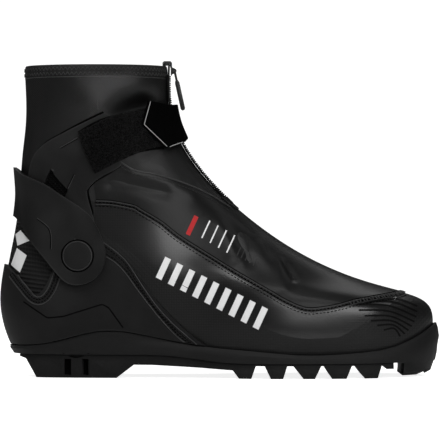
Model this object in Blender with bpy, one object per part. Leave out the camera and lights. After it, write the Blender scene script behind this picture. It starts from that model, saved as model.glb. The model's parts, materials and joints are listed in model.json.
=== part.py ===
"""Cross country ski boot, right foot: a combi boot with a low shell, a cuff and a strap.

Frame: +X from heel to toe, +Z up, the outer (lateral) side of the right boot towards -Y.
Sizes are millimetres; build_mesh turns them into metres. The origin is under the middle of
the boot, on the floor that it stands on.

The last is a stack of eleven closed rings, from the feather edge where the sole begins to
the collar. A place on it is (turn, level): turn runs round the last in radians, 0 at the back
of the heel, pi at the toe and on the throat line, with the outer side between them; level
runs from 0 at the feather edge to 10 at the collar. Every shell of the boot, from upper to
cuff, is a patch of this one surface, raised from it by its own amount.
"""

import math
from collections import namedtuple

import bmesh
import bpy
import numpy as np
from mathutils import Vector

# ---------------------------------------------------------------- last
LAST_LENGTH = 300.0  # heel to toe, outside the upper
COLLAR_HEIGHT = 215.0  # floor to the top of the collar
COLLAR_LENGTH = 100.0  # front to back at the top of the collar
COLLAR_HALF_WIDTH = 37.0
BALL_HALF_WIDTH = 46.5
WAIST_HALF_WIDTH = 36.5
HEEL_HALF_WIDTH = 34.5
TOE_HEIGHT = 51.2  # floor to the top of the toe box
INSTEP_HEIGHT = 111.0  # floor to the instep, where the throat line turns up
HEEL_FLOOR = 20.4  # floor under the foot, above the ground
BALL_FLOOR = 13.5
TOE_SPRING = 2.2  # rise of that floor to the toe

# ---------------------------------------------------------------- walls and clearances
GAP = 0.35  # between two pieces that touch on the real boot
LAYER_GAP = 0.5  # the same between two curved layers, whose facets don't fall together
UPPER_WALL = 2.2
COUNTER_WALL = 2.2
ARM_WALL = 2.0
BAND_WALL = 2.2
CUFF_CLEARANCE = 0.8  # cuff to upper where no counter lies between them
LOOP_STRAP_WALL = 2.2
HOOK_STRAP_WALL = 1.8
ZIP_WALL = 0.9
ZIP_HALF_WIDTH = 6.0
INSOLE_WALL = 3.0

# ---------------------------------------------------------------- sole
HEEL_BASE = 16.1  # underside of the sole unit at the heel
BALL_BASE = 10.2
SIDE_WALL = 3.0  # sidewall of the sole unit
TOE_BUMPER = 3.0  # what the bumper adds to the sidewall at the toe
HEEL_TUCK = 4.4  # how far the sidewall draws in under the heel
TREAD_INSET = 2.6  # tread to the sole unit's edge
TREAD_DRAFT = 0.14  # inward slope of the tread's sides
TREAD_PLATE = 8.7  # height of the tread plate between the lugs
GROOVE_WIDTH = 8.0  # the two guide grooves along the sole
GROOVE_SPACING = 30.0
GROOVE_HEIGHT = 7.5
TOE_BLOCK_HEIGHT = 1.3  # clearance of the toe block above the ground
RECESS_LENGTH = 14.0  # slot in the toe block round the binding bar
RECESS_HALF_WIDTH = 17.0
RECESS_HEIGHT = 10.2
BAR_RADIUS = 2.0
BAR_HEIGHT = 5.4

# ---------------------------------------------------------------- rivets, slider and pull
RIVET_HEAD_RADIUS = 10.5
RIVET_HEAD_PROUD = 0.6  # above the band that it sits in
RIVET_SHANK_RADIUS = 5.0
RIVET_CLEARANCE = 0.9  # head to the edge of its seat
SEAT_DEPTH = 1.1  # seat of the head in the band
SLIDER_HALF_WIDTH = 4.2
SLIDER_DROP = 6.6  # slider below the top of the collar
SLIDER_RISE = 3.2  # and above it
SLIDER_PLATE = 0.9
PULL_BAR_RADIUS = 0.6
PULL_BAR_DROP = 3.4  # the bar's height below the top of the collar
PULL_EYE_WALL = 0.55
PULL_NECK_WALL = 0.8  # half of it
PULL_CLEARANCE = 0.25
PULL_HALF_WIDTH = 1.7  # the eye and the neck
PULL_NECK_LENGTH = 7.0
PULL_LENGTH = 28.0
PULL_TAB_HALF_WIDTH = 3.1
PULL_TAB_WALL = 3.2
PULL_LEAN = math.radians(12.5)  # the tab leans out over the strap's end

# ---------------------------------------------------------------- fineness of the meshes
TURNS = 52  # facets round the last
UPPER_LEVELS = (
    0, 0.45, 0.95, 1.55, 2.25, 2.95, 3.65, 4.35, 5.05, 5.75, 6.4, 7.0, 7.5, 7.95, 8.4, 8.8, 9.2, 9.6, 10,
)
METRES = 0.001

Ring = namedtuple("Ring", "back rise front climb heel waist ball tail nose bluntness sag")

# Each ring's back and front points and half widths. back and front are distances along the
# boot (back as a share of the last's length, front as a share of the way from the collar's
# front to the toe), rise and climb their heights, as a share of the way up from the foot's
# floor: to the collar at the back, and at the front to the toe's top, the instep and the collar.
RINGS = (
    Ring(0.0313, 0.001, 0.965, 0.06, 0.840, 0.82, 0.957, 34, 88, 2.4, 1.0),
    Ring(0.0153, 0.052, 0.993, 0.40, 0.957, 0.96, 1.022, 38, 92, 2.4, 0.5),
    Ring(0.0033, 0.129, 0.999, 0.73, 1.000, 1.00, 1.000, 40, 92, 2.4, 0.15),
    Ring(0.0030, 0.203, 0.975, 1.00, 1.000, 1.01, 0.968, 42, 90, 2.4, 0.0),
    Ring(0.0113, 0.286, 0.886, 1.110, 0.971, 1.01, 0.935, 44, 140, 2.0, 0.0),
    Ring(0.0225, 0.370, 0.708, 1.250, 0.942, 0.98, 0.925, 46, 160, 2.0, 0.0),
    Ring(0.0330, 0.460, 0.484, 1.562, 0.913, 0.93, 0.903, 46, 115, 2.0, 0.0),
    Ring(0.0400, 0.568, 0.285, 2.000, 0.899, 0.89, 0.710, 46, 75, 2.0, 0.0),
    Ring(0.0455, 0.692, 0.114, 2.300, 0.899, 0.90, 0.710, 46, 58, 2.0, 0.0),
    Ring(0.0543, 0.820, 0.010, 2.645, 0.985, 0.93, 0.731, 48, 50, 2.0, 0.0),
    Ring(0.0497, 1.000, 0.000, 3.000, 1.072, 1.01, 0.796, 49, 49, 2.0, 0.0),
)
TOP_LEVEL = len(RINGS) - 1


def smooth_step(t):
    t = np.clip(t, 0.0, 1.0)
    return t * t * t * (t * (6.0 * t - 15.0) + 10.0)


def mix(a, b, share):
    return a + (b - a) * share


def spline_slopes(rows):
    """Slopes at the rows of a natural cubic spline through them, one row apart."""
    count = len(rows)
    matrix = np.diag(np.full(count, 4.0)) + np.eye(count, k=1) + np.eye(count, k=-1)
    matrix[0, 0] = matrix[-1, -1] = 2.0
    before = np.vstack([rows[:1], rows[:-1]])
    after = np.vstack([rows[1:], rows[-1:]])
    return np.linalg.solve(matrix, 3.0 * (after - before))


def spline(rows, slopes, at):
    low = np.clip(np.floor(at).astype(int), 0, len(rows) - 2)
    t = (at - low)[..., None]
    h = rows[low + 1] - rows[low]
    a = slopes[low]
    b = slopes[low + 1]
    return rows[low] + t * (a + t * (3 * h - 2 * a - b + t * (a + b - 2 * h)))


def foot_floor(x):
    """Height of the surface that the foot stands on."""
    share = x / LAST_LENGTH
    level = mix(HEEL_FLOOR, BALL_FLOOR, smooth_step((share - 0.28) / 0.32))
    return level + TOE_SPRING * np.clip((share - 0.74) / 0.26, 0, 1) ** 2


def sole_base(x):
    """Height of the sole unit's underside."""
    share = x / LAST_LENGTH
    level = mix(HEEL_BASE, BALL_BASE, smooth_step((share - 0.32) / 0.26))
    return level + 0.3 * TOE_SPRING * np.clip((share - 0.74) / 0.26, 0, 1) ** 2


def ring_rows():
    """The rings in millimetres, one row of numbers each."""
    collar_front = RINGS[-1].back * LAST_LENGTH + COLLAR_LENGTH
    floor_front = BALL_FLOOR + TOE_SPRING
    fronts = (floor_front + GAP, TOE_HEIGHT, INSTEP_HEIGHT, COLLAR_HEIGHT)
    rows = []
    for ring in RINGS:
        if ring.climb <= 1:
            climb = mix(fronts[0], fronts[1], ring.climb)
        else:
            part = min(int(ring.climb), 2)
            climb = mix(fronts[part], fronts[part + 1], ring.climb - part)
        low = (HEEL_HALF_WIDTH * ring.heel, WAIST_HALF_WIDTH * ring.waist, BALL_HALF_WIDTH * ring.ball)
        collar = smooth_step((ring.rise - 0.5) / 0.5)
        widths = [mix(width, COLLAR_HALF_WIDTH, collar) for width in low]
        rows.append([
            ring.back * LAST_LENGTH,
            HEEL_FLOOR + GAP + ring.rise * (COLLAR_HEIGHT - HEEL_FLOOR - GAP),
            mix(collar_front, LAST_LENGTH, ring.front),
            climb,
            *widths,
            ring.tail,
            ring.nose,
            ring.bluntness,
            ring.sag,
        ])
    return np.array(rows)


ROWS = ring_rows()
SLOPES = spline_slopes(ROWS)
SWING_ROWS = np.array([[0.0], [-1.6], [-2.5], [0.6], [7.0]])  # heel to toe, + to the inner side
SWING_SLOPES = spline_slopes(SWING_ROWS)


def swing(x, level):
    """Sideways bend of the last's centre line, which the shaft doesn't follow."""
    share = np.clip(x / LAST_LENGTH, 0, 1) * (len(SWING_ROWS) - 1)
    bend = spline(SWING_ROWS, SWING_SLOPES, share)[..., 0]
    return bend * (1 - smooth_step((level - 4.0) / 4.0))


def closing(distance, length, bluntness):
    """Share of the full width at a distance from the end of a rounded outline."""
    t = 1 - np.clip(distance / length, 0, 1)
    return np.sqrt(np.clip(1 - t ** bluntness, 0, 1))


def last_point(turn, level):
    turn, level = np.broadcast_arrays(np.asarray(turn, float), np.asarray(level, float))
    ring = spline(ROWS, SLOPES, level)
    back, rise, front, climb, heel, waist, ball, tail, nose, bluntness, sag = np.moveaxis(ring, -1, 0)
    along = (1 - np.cos(turn)) / 2
    x = mix(back, front, along)
    first_back, first_rise, first_front, first_climb = ROWS[0][:4]
    straight = mix(first_rise, first_climb, (x - first_back) / (first_front - first_back))
    z = mix(rise, climb, along) + np.clip(sag, 0, 1) * (foot_floor(x) + GAP - straight)
    share = x / LAST_LENGTH
    half = mix(heel, waist, smooth_step((share - 0.12) / 0.30))
    half = mix(half, ball, smooth_step((share - 0.40) / 0.28))
    half = half * closing(x - back, tail, bluntness) * closing(front - x, nose, bluntness)
    y = swing(x, level) - np.sign(np.sin(turn)) * half
    return np.stack([x, y, z], axis=-1)


def raised(turn, level, height):
    """A point above the last by height, along the surface's normal."""
    step = 0.02
    round_it = last_point(turn + step, level) - last_point(turn - step, level)
    low = np.clip(level - step, 0, TOP_LEVEL)
    high = np.clip(level + step, 0, TOP_LEVEL)
    up = last_point(turn, high) - last_point(turn, low)
    normal = np.cross(round_it, up)
    normal /= np.linalg.norm(normal, axis=-1, keepdims=True)
    return last_point(turn, level) + normal * np.asarray(height, float)[..., None]


def level_at(turn, height):
    """The level at which the last is this high above the ground, at this turn."""
    turn, height = np.broadcast_arrays(np.asarray(turn, float), np.asarray(height, float))
    low = np.zeros(turn.shape)
    high = np.full(turn.shape, float(TOP_LEVEL))
    for _ in range(40):
        middle = (low + high) / 2
        below = last_point(turn, middle)[..., 2] < height
        low = np.where(below, middle, low)
        high = np.where(below, high, middle)
    return (low + high) / 2


# ---------------------------------------------------------------- meshes


def material(name, colour, roughness, metallic=0.0):
    made = bpy.data.materials.new(name)
    made.use_nodes = True
    shader = made.node_tree.nodes["Principled BSDF"]
    shader.inputs["Base Color"].default_value = (*colour, 1.0)
    shader.inputs["Roughness"].default_value = roughness
    shader.inputs["Metallic"].default_value = metallic
    made.diffuse_color = (*colour, 1.0)
    return made


def build_mesh(name, points, faces, look=None):
    """An object from points in millimetres; one without a look is a cutter."""
    mesh = bpy.data.meshes.new(name)
    scaled = np.asarray(points, float) * METRES
    mesh.from_pydata([tuple(point) for point in scaled], [], faces)
    shape = bmesh.new()
    shape.from_mesh(mesh)
    bmesh.ops.recalc_face_normals(shape, faces=shape.faces)
    if shape.calc_volume(signed=True) < 0:
        bmesh.ops.reverse_faces(shape, faces=shape.faces)
    shape.to_mesh(mesh)
    shape.free()
    made = bpy.data.objects.new(name, mesh)
    bpy.context.scene.collection.objects.link(made)
    if look is None:
        made.hide_render = True
        made.display_type = "WIRE"
    else:
        mesh.materials.append(look)
        mesh.shade_smooth()
        mesh.set_sharp_from_angle(angle=math.radians(35))
    return made


def grid_faces(rows, columns, start, wrap):
    faces = []
    for i in range(rows - 1):
        for j in range(columns if wrap else columns - 1):
            k = (j + 1) % columns
            low = start + i * columns
            faces.append((low + j, low + k, low + columns + k, low + columns + j))
    return faces


def shell_between(name, outer, inner, look, wrap=False):
    """A closed wall between two grids of points of the same size."""
    rows, columns = outer.shape[:2]
    count = rows * columns
    faces = grid_faces(rows, columns, 0, wrap) + grid_faces(rows, columns, count, wrap)
    last = (rows - 1) * columns
    for j in range(columns if wrap else columns - 1):
        k = (j + 1) % columns
        faces.append((j, k, count + k, count + j))
        faces.append((last + j, last + k, count + last + k, count + last + j))
    if not wrap:
        for i in range(rows - 1):
            for j in (i * columns, i * columns + columns - 1):
                faces.append((j, j + columns, count + j + columns, count + j))
    points = np.concatenate([outer.reshape(-1, 3), inner.reshape(-1, 3)])
    return build_mesh(name, points, faces, look)


def box(name, low, high):
    """A cutter between two corners."""
    (x0, y0, z0), (x1, y1, z1) = low, high
    corners = [(x, y, z) for x in (x0, x1) for y in (y0, y1) for z in (z0, z1)]
    faces = [(0, 1, 3, 2), (4, 6, 7, 5), (0, 4, 5, 1), (2, 3, 7, 6), (0, 2, 6, 4), (1, 5, 7, 3)]
    return build_mesh(name, corners, faces)


def cylinder(name, start, end, radius, sides=32, look=None):
    start = Vector(start)
    axis = Vector(end) - start
    across = axis.orthogonal().normalized()
    beside = axis.normalized().cross(across)
    points = []
    for foot in (start, start + axis):
        for i in range(sides):
            turn = math.tau * i / sides
            points.append(foot + radius * (math.cos(turn) * across + math.sin(turn) * beside))
    faces = grid_faces(2, sides, 0, True)
    faces.append(tuple(range(sides)))
    faces.append(tuple(range(sides, 2 * sides)))
    return build_mesh(name, points, faces, look)


def boolean(target, other, operation="DIFFERENCE"):
    change = target.modifiers.new(f"{operation.lower()} {other.name}", "BOOLEAN")
    change.operation = operation
    change.object = other


# ---------------------------------------------------------------- patches of the last


def place(degrees, percent):
    """(turn, level) of a point this far round the last and this much of the collar's height up."""
    turn = math.radians(degrees)
    return turn, float(level_at(turn, percent / 100 * COLLAR_HEIGHT))


def outline(points, steps, sharp=()):
    return through([place(*point) for point in points], steps, sharp)


def mirrored(points):
    """The same outline on the inner side of the boot."""
    return [(360.0 - degrees, percent) for degrees, percent in points]


def through(keys, steps, sharp=()):
    """A smooth line through the keys with steps parts between two keys, and corners at sharp."""
    keys = np.array(keys)
    slopes = np.gradient(keys, axis=0)
    line = [keys[0]]
    for i in range(len(keys) - 1):
        chord = keys[i + 1] - keys[i]
        leave = chord if i in sharp else slopes[i]
        reach = chord if i + 1 in sharp else slopes[i + 1]
        for k in range(1, steps + 1):
            t = k / steps
            square = 3 * chord - 2 * leave - reach
            cube = leave + reach - 2 * chord
            line.append(keys[i] + t * (leave + t * (square + t * cube)))
    return np.array(line)


def both_sides(line):
    """A line that ends at the back of the heel, carried on round the inner side."""
    return np.concatenate([line, line[-2::-1] * (-1, 1)])


def patch(name, low, high, inner, wall, look, rows=4):
    """A wall over the last between two matched lines, both in (turn, level)."""
    share = np.linspace(0, 1, rows + 1)[:, None]
    turn = mix(low[:, 0], high[:, 0], share)
    level = mix(low[:, 1], high[:, 1], share)
    height = inner(turn, level)
    return shell_between(name, raised(turn, level, height + wall), raised(turn, level, height), look)


def even(height):
    return lambda turn, level: np.full(np.shape(turn), height)


# ---------------------------------------------------------------- upper and insole


def ring_turns():
    return np.arange(TURNS) * math.tau / TURNS


def build_upper(look):
    levels = np.array(UPPER_LEVELS, float)[:, None]
    turns = ring_turns()[None, :]
    zero = np.zeros((len(UPPER_LEVELS), TURNS))
    outer = raised(turns, levels, zero)
    inner = raised(turns, levels, zero - UPPER_WALL)
    return shell_between("upper", outer, inner, look, wrap=True)


def across_faces(start):
    """Strips across a ring of points, which close it as a floor."""
    faces = []
    for j in range(TURNS // 2):
        ring = [j, j + 1, TURNS - j - 1, (TURNS - j) % TURNS]
        faces.append(tuple(start + k for k in dict.fromkeys(ring)))
    return faces


def build_insole(look):
    edge = raised(ring_turns(), 0.02, np.full(TURNS, -UPPER_WALL - 2 * GAP))
    lower = edge.copy()
    lower[:, 2] = foot_floor(edge[:, 0]) + GAP
    upper = edge.copy()
    upper[:, 2] = lower[:, 2] + INSOLE_WALL
    points = np.concatenate([lower, upper])
    faces = grid_faces(2, TURNS, 0, True) + across_faces(0) + across_faces(TURNS)
    return build_mesh("insole", points, faces, look)


# ---------------------------------------------------------------- sole

# Rise of the sidewall's top edge above the foot's floor, at even steps from heel to toe.
TOP_LINE = np.array([[1.6, 2.1, 7.4, 11.9, 8.7, 5.9, 5.9, 5.2, 2.9, 2.7, 4.0, 8.1, 22.0]]).T
TOP_LINE_SLOPES = spline_slopes(TOP_LINE)
WALL_PLAN_LEVEL = 0.6  # the sidewall keeps this ring's outline below it
TOE_BLOCK_START = 0.907  # share of the length
TOE_BLOCK_STEPS = ((11.6, 0.4), (8.1, 1.7), (3.9, 3.1), (TOE_BLOCK_HEIGHT, 8.0))  # height, inset


def top_line(x):
    share = np.clip(x / LAST_LENGTH, 0, 1) * (len(TOP_LINE) - 1)
    return foot_floor(x) + spline(TOP_LINE, TOP_LINE_SLOPES, share)[..., 0]


def sole_side(turn, share):
    """The sidewall's outer face, from the underside at share 0 to the top edge at 1."""
    turn = np.asarray(turn, float)
    x = last_point(turn, 1.0)[..., 0]
    along = x / LAST_LENGTH
    height = mix(sole_base(x), top_line(x), share)
    level = np.maximum(level_at(turn, height), WALL_PLAN_LEVEL)
    toe = smooth_step((along - 0.78) / 0.22)
    heel = 1 - smooth_step(along / 0.3)
    wall = SIDE_WALL * (1 - 0.5 * smooth_step((share - 0.62) / 0.38))
    bumper = TOE_BUMPER * toe * math.sin(math.pi * min(0.12 + 0.85 * share, 1.0))
    tuck = HEEL_TUCK * heel * (1 - share)
    point = raised(turn, level, wall + bumper - tuck)
    point[..., 2] = height
    return point


def build_toe_block():
    start = TOE_BLOCK_START * LAST_LENGTH
    back = ROWS[0][0]
    front = ROWS[0][2]
    first = math.acos(1 - 2 * (start - back) / (front - back))
    arc = sole_side(np.linspace(first, math.tau - first, 13), 0.0)
    centre = np.array([start, float(swing(start, 0.0)), 0.0])
    points = []
    for height, inset in TOE_BLOCK_STEPS:
        outward = arc - centre
        outward[:, 2] = 0
        reach = np.linalg.norm(outward, axis=1, keepdims=True)
        ring = centre + outward * (1 - inset / reach)
        ring[:, 0] = np.maximum(ring[:, 0], start + 0.3 * inset)
        ring[:, 2] = height
        points.extend(ring)
    count = len(arc)
    faces = grid_faces(len(TOE_BLOCK_STEPS), count, 0, True)
    faces.append(tuple(range(count)))
    faces.append(tuple(range(len(points) - count, len(points))))
    return build_mesh("toe block", points, faces)


def recess_centre():
    x = (TOE_BLOCK_START + 0.0467) * LAST_LENGTH
    return x, float(swing(x, 0.0))


def build_sole_unit(look):
    turns = ring_turns()
    loops = [sole_side(turns, share) for share in (0.0, 0.2, 0.42, 0.64, 0.85, 1.0)]
    top = level_at(turns, top_line(last_point(turns, 1.0)[:, 0]))
    for share in (1.0, 0.67, 0.33, 0.0):
        loops.append(raised(turns, top * share, np.full(TURNS, LAYER_GAP)))
    floor = loops[-1].copy()
    floor[:, 2] = foot_floor(floor[:, 0])
    loops.append(floor)
    faces = grid_faces(len(loops), TURNS, 0, True)
    faces += across_faces(0) + across_faces((len(loops) - 1) * TURNS)
    unit = build_mesh("sole_unit", np.concatenate(loops), faces, look)
    boolean(unit, build_toe_block(), "UNION")
    x, y = recess_centre()
    low = (x - RECESS_LENGTH / 2, y - RECESS_HALF_WIDTH, -5.0)
    high = (x + RECESS_LENGTH / 2, y + RECESS_HALF_WIDTH, RECESS_HEIGHT)
    boolean(unit, box("recess cutter", low, high))
    return unit


def build_binding_bar(look):
    x, y = recess_centre()
    reach = RECESS_HALF_WIDTH - GAP
    return cylinder(
        "binding_bar", (x, y - reach, BAR_HEIGHT), (x, y + reach, BAR_HEIGHT), BAR_RADIUS, 20, look
    )


# The tread's profile: (share of the length, height). The lugs follow the arch.
HEEL_PROFILE = (
    (0.043, 14.3), (0.058, 12.9), (0.083, 0.0), (0.11, 0.0), (0.148, 0.0), (0.203, 0.0), (0.267, 0.0),
)
ARCH_PROFILE = (
    (0.307, 9.1), (0.348, 9.0), (0.385, 8.4), (0.422, 7.8), (0.46, 7.1), (0.497, 6.3), (0.532, 5.6),
)
LUGS = (  # first and last of the flat, length of the rear and the front flank
    (0.546, 0.574, 0.010, 0.010),
    (0.618, 0.646, 0.014, 0.009),
    (0.692, 0.718, 0.023, 0.014),
    (0.757, 0.790, 0.019, 0.012),
    (0.832, 0.862, 0.023, 0.009),
)
HALF_LUG = ((0.882, 6.2), (0.899, 6.2))
HEEL_SLOTS = ((0.148, 0.163), (0.189, 0.203))  # notches in both sides of the heel block
SLOT_DEPTH = 5.0
SLOT_HEIGHTS = (1.8, 13.0)


def tread_profile():
    profile = [*HEEL_PROFILE, *ARCH_PROFILE]
    for first, last, rear, front in LUGS:
        if first - rear > profile[-1][0] + 0.004:
            profile.append((first - rear, TREAD_PLATE))
        profile += [(first, 0.0), (last, 0.0), (last + front, TREAD_PLATE)]
    profile += HALF_LUG
    return [(share * LAST_LENGTH, height) for share, height in profile]


def tread_edges(x):
    """The tread's two sides, in Y, under the sole unit at this distance along the boot."""
    half = np.linspace(0, math.pi, 181)
    outer = sole_side(half, 0.0)
    inner = sole_side(math.tau - half, 0.0)
    return (
        np.interp(x, outer[:, 0], outer[:, 1]) + TREAD_INSET,
        np.interp(x, inner[:, 0], inner[:, 1]) - TREAD_INSET,
    )


def build_outsole(look):
    stations = tread_profile()
    points = []
    for x, bottom in stations:
        top = float(sole_base(np.array(x))) - GAP
        outer, inner = tread_edges(x)
        draft = TREAD_DRAFT * (top - bottom)
        points += [(x, outer, top), (x, outer + draft, bottom), (x, inner - draft, bottom), (x, inner, top)]
    faces = grid_faces(len(stations), 4, 0, True)
    faces.append((0, 1, 2, 3))
    faces.append(tuple(len(points) - 4 + k for k in range(4)))
    sole = build_mesh("outsole", points, faces, look)
    for side in (-1, 1):
        middle = side * GROOVE_SPACING / 2
        low = (-50.0, middle - GROOVE_WIDTH / 2, -5.0)
        high = (LAST_LENGTH + 50.0, middle + GROOVE_WIDTH / 2, GROOVE_HEIGHT)
        boolean(sole, box(f"groove cutter {side}", low, high))
        for count, (first, last) in enumerate(HEEL_SLOTS):
            edge = tread_edges(first * LAST_LENGTH)[0 if side < 0 else 1]
            ends = sorted((edge - side * SLOT_DEPTH, edge + side * 20.0))
            low = (first * LAST_LENGTH, ends[0], SLOT_HEIGHTS[0])
            high = (last * LAST_LENGTH, ends[1], SLOT_HEIGHTS[1])
            boolean(sole, box(f"slot cutter {side} {count}", low, high))
    return sole


# ---------------------------------------------------------------- heel counter and cuff

# Outlines: (degrees round the last from the back of the heel, percent of the collar's height).
COUNTER_EDGE = (  # from the outer front tip over the pivot and the notch to the back
    (84.5, 11.9), (77.7, 18.8), (72.0, 27.9), (70.3, 33.8), (69.0, 38.4), (65.3, 42.9), (59.5, 44.7),
    (50.2, 43.7), (43.9, 39.1), (40.7, 33.4), (37.3, 28.0), (33.5, 26.2), (30.0, 28.0), (25.5, 31.0),
    (12.0, 35.2), (0.0, 35.9),
)
COUNTER_FOOT = (
    85.8, 80.0, 73.5, 69.0, 64.5, 58.5, 52.5, 46.5, 41.5, 37.0, 34.0, 31.0, 28.0, 21.0, 11.0, 0.0,
)
ARM_REAR = (
    (46.3, 32.8), (41.7, 37.2), (40.4, 44.2), (36.1, 53.5), (29.9, 59.5), (27.9, 63.7), (33.1, 70.1),
    (45.1, 74.4), (60.7, 77.5), (78.7, 81.0), (97.0, 84.3),
)
ARM_FRONT = (
    (54.8, 32.8), (60.4, 37.2), (63.7, 44.2), (66.3, 52.1), (67.0, 55.8), (68.6, 59.6), (75.9, 62.7),
    (86.0, 65.2), (96.5, 67.5), (100.6, 72.1), (104.1, 81.9),
)
ARM_WINDOW = ((49.0, 66.7), (40.7, 60.5), (52.3, 56.3), (57.6, 59.8))
BAND_LOW = (
    (61.6, 36.2), (57.9, 32.2), (53.5, 29.9), (48.9, 29.4), (45.0, 30.9), (40.7, 35.3), (36.9, 39.1),
    (32.6, 42.2), (27.3, 45.6), (18.5, 49.6), (9.0, 51.2), (0.0, 51.4),
)
BAND_HIGH = (
    (64.1, 40.0), (65.3, 43.5), (65.8, 47.4), (64.9, 51.4), (60.5, 54.7), (54.8, 57.3), (49.5, 59.6),
    (43.8, 61.6), (35.5, 63.2), (25.0, 64.6), (12.5, 66.6), (0.0, 67.2),
)
PIVOT = (52.1, 38.6)
COUNTER_TOP = 0.45  # share of the collar's height at which the cuff has left the counter behind
LIP_FLARE = 2.6  # how far the band's upper edge stands off behind the heel


def counter_outer():
    return LAYER_GAP + COUNTER_WALL


def height_share(turn, level):
    return last_point(turn, level)[..., 2] / COLLAR_HEIGHT


def arm_inner(turn, level):
    rise = smooth_step((height_share(turn, level) - COUNTER_TOP) / 0.12)
    return mix(counter_outer() + LAYER_GAP, CUFF_CLEARANCE, rise)


def band_inner(turn, level):
    """The band lies over the arms and comes in to the upper behind the heel, below its lip."""
    side = np.degrees(np.arccos(np.cos(turn)))
    share = height_share(turn, level)
    rear_edge = np.array(ARM_REAR[:6])
    rear = np.interp(share * 100, rear_edge[:, 1], rear_edge[:, 0])
    behind = smooth_step((rear - 3.0 - side) / 17.0)
    over_arm = arm_inner(turn, level) + ARM_WALL + LAYER_GAP
    flare = LIP_FLARE * smooth_step((share - 0.585) / 0.085) * (1 - smooth_step((side - 8.0) / 22.0))
    return mix(over_arm, CUFF_CLEARANCE, behind) + flare


def pivot_axis(side):
    """Foot of the pivot's axis on the last and its outward direction, on either side (-1 outer)."""
    degrees = PIVOT[0] if side < 0 else 360.0 - PIVOT[0]
    turn, level = place(degrees, PIVOT[1])
    foot = raised(turn, level, 0.0)
    outward = raised(turn, level, 1.0) - foot
    return foot, outward / np.linalg.norm(outward), turn, level


def along_pivot(side, height):
    foot, outward, _, _ = pivot_axis(side)
    return tuple(foot + height * outward)


def band_height(side):
    """How far the band's outer face stands off the last at the pivot."""
    _, _, turn, level = pivot_axis(side)
    return float(band_inner(np.array(turn), np.array(level))) + BAND_WALL


def pierce(target, side, label):
    """Cuts the rivet's hole through a piece."""
    radius = RIVET_SHANK_RADIUS + GAP
    start = along_pivot(side, -6.0)
    end = along_pivot(side, 16.0)
    boolean(target, cylinder(f"{label} hole cutter {side}", start, end, radius, 16))


def build_counter(look):
    foot = through([(math.radians(degrees), 0.0) for degrees in COUNTER_FOOT], 2)
    height = top_line(last_point(foot[:, 0], 1.0)[:, 0]) + 2 * GAP
    foot[:, 1] = level_at(foot[:, 0], height)
    lean = height - raised(*foot.T, counter_outer())[:, 2]  # the wall's face leans under there
    foot[:, 1] = level_at(foot[:, 0], height + lean)
    edge = through([place(*point) for point in COUNTER_EDGE], 2)
    made = patch(
        "heel_counter", both_sides(foot), both_sides(edge), even(LAYER_GAP), COUNTER_WALL, look, rows=6
    )
    for side in (-1, 1):
        pierce(made, side, "counter")
    return made


def build_arm(name, side, look):
    rear = ARM_REAR if side < 0 else mirrored(ARM_REAR)
    front = ARM_FRONT if side < 0 else mirrored(ARM_FRONT)
    window = ARM_WINDOW if side < 0 else mirrored(ARM_WINDOW)
    made = patch(name, outline(rear, 2), outline(front, 2), arm_inner, ARM_WALL, look)
    pierce(made, side, name)
    places = [place(*point) for point in window]
    near = [raised(*point, -8.0) for point in places]
    far = [raised(*point, 14.0) for point in places]
    faces = [(0, 1, 2, 3), (4, 5, 6, 7), (0, 1, 5, 4), (1, 2, 6, 5), (2, 3, 7, 6), (3, 0, 4, 7)]
    boolean(made, build_mesh(f"{name} window cutter", near + far, faces))
    return made


def build_band(look):
    low = both_sides(outline(BAND_LOW, 2))
    high = both_sides(outline(BAND_HIGH, 2))
    made = patch("cuff_band", low, high, band_inner, BAND_WALL, look)
    for side in (-1, 1):
        pierce(made, side, "band")
        band = band_height(side)
        start = along_pivot(side, band - SEAT_DEPTH)
        end = along_pivot(side, band + 10.0)
        radius = RIVET_HEAD_RADIUS + RIVET_CLEARANCE
        boolean(made, cylinder(f"seat cutter {side}", start, end, radius, 36))
    return made


def build_rivet(name, side, look):
    """A turned rivet: its shank goes through band, arm and counter."""
    band = band_height(side)
    under_head = band - SEAT_DEPTH + GAP
    profile = (
        (RIVET_SHANK_RADIUS, 3 * GAP),
        (RIVET_SHANK_RADIUS, under_head),
        (RIVET_HEAD_RADIUS, under_head),
        (RIVET_HEAD_RADIUS, band + RIVET_HEAD_PROUD - 0.5),
        (RIVET_HEAD_RADIUS - 0.6, band + RIVET_HEAD_PROUD),
        (RIVET_HEAD_RADIUS * 0.6, band + RIVET_HEAD_PROUD + 0.3),
    )
    foot, outward, _, _ = pivot_axis(side)
    foot = Vector(foot)
    outward = Vector(outward)
    across = outward.orthogonal().normalized()
    beside = outward.cross(across)
    sides = 24
    points = []
    for radius, height in profile:
        for i in range(sides):
            turn = math.tau * i / sides
            reach = math.cos(turn) * across + math.sin(turn) * beside
            points.append(foot + radius * reach + height * outward)
    faces = grid_faces(len(profile), sides, 0, True)
    faces.append(tuple(range(sides)))
    faces.append(tuple(range(len(points) - sides, len(points))))
    return build_mesh(name, points, faces, look)


# ---------------------------------------------------------------- straps and zip

LOOP_LOW = (
    (77.9, 65.6), (98.8, 69.8), (117.5, 72.5), (141.1, 74.0), (165.0, 74.8), (190.0, 75.2), (205.0, 75.2),
)
LOOP_HIGH = (
    (74.7, 77.9), (96.0, 82.1), (115.0, 84.3), (135.0, 85.7), (163.0, 86.6), (190.0, 87.0), (203.0, 87.0),
)
HOOK_LOW = (
    (127.1, 77.0), (134.8, 72.5), (159.1, 74.0), (185.0, 75.6), (205.0, 75.6), (230.0, 73.6), (261.2, 69.8),
    (282.1, 65.6),
)
HOOK_HIGH = (
    (123.3, 80.6), (131.8, 88.1), (155.0, 86.8), (180.0, 87.2), (205.0, 87.4), (232.0, 85.6), (264.0, 82.1),
    (285.3, 77.9),
)
HOOK_CORNERS = (1, 2)
ZIP_FOOT = 55.0  # percent of the collar's height


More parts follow.
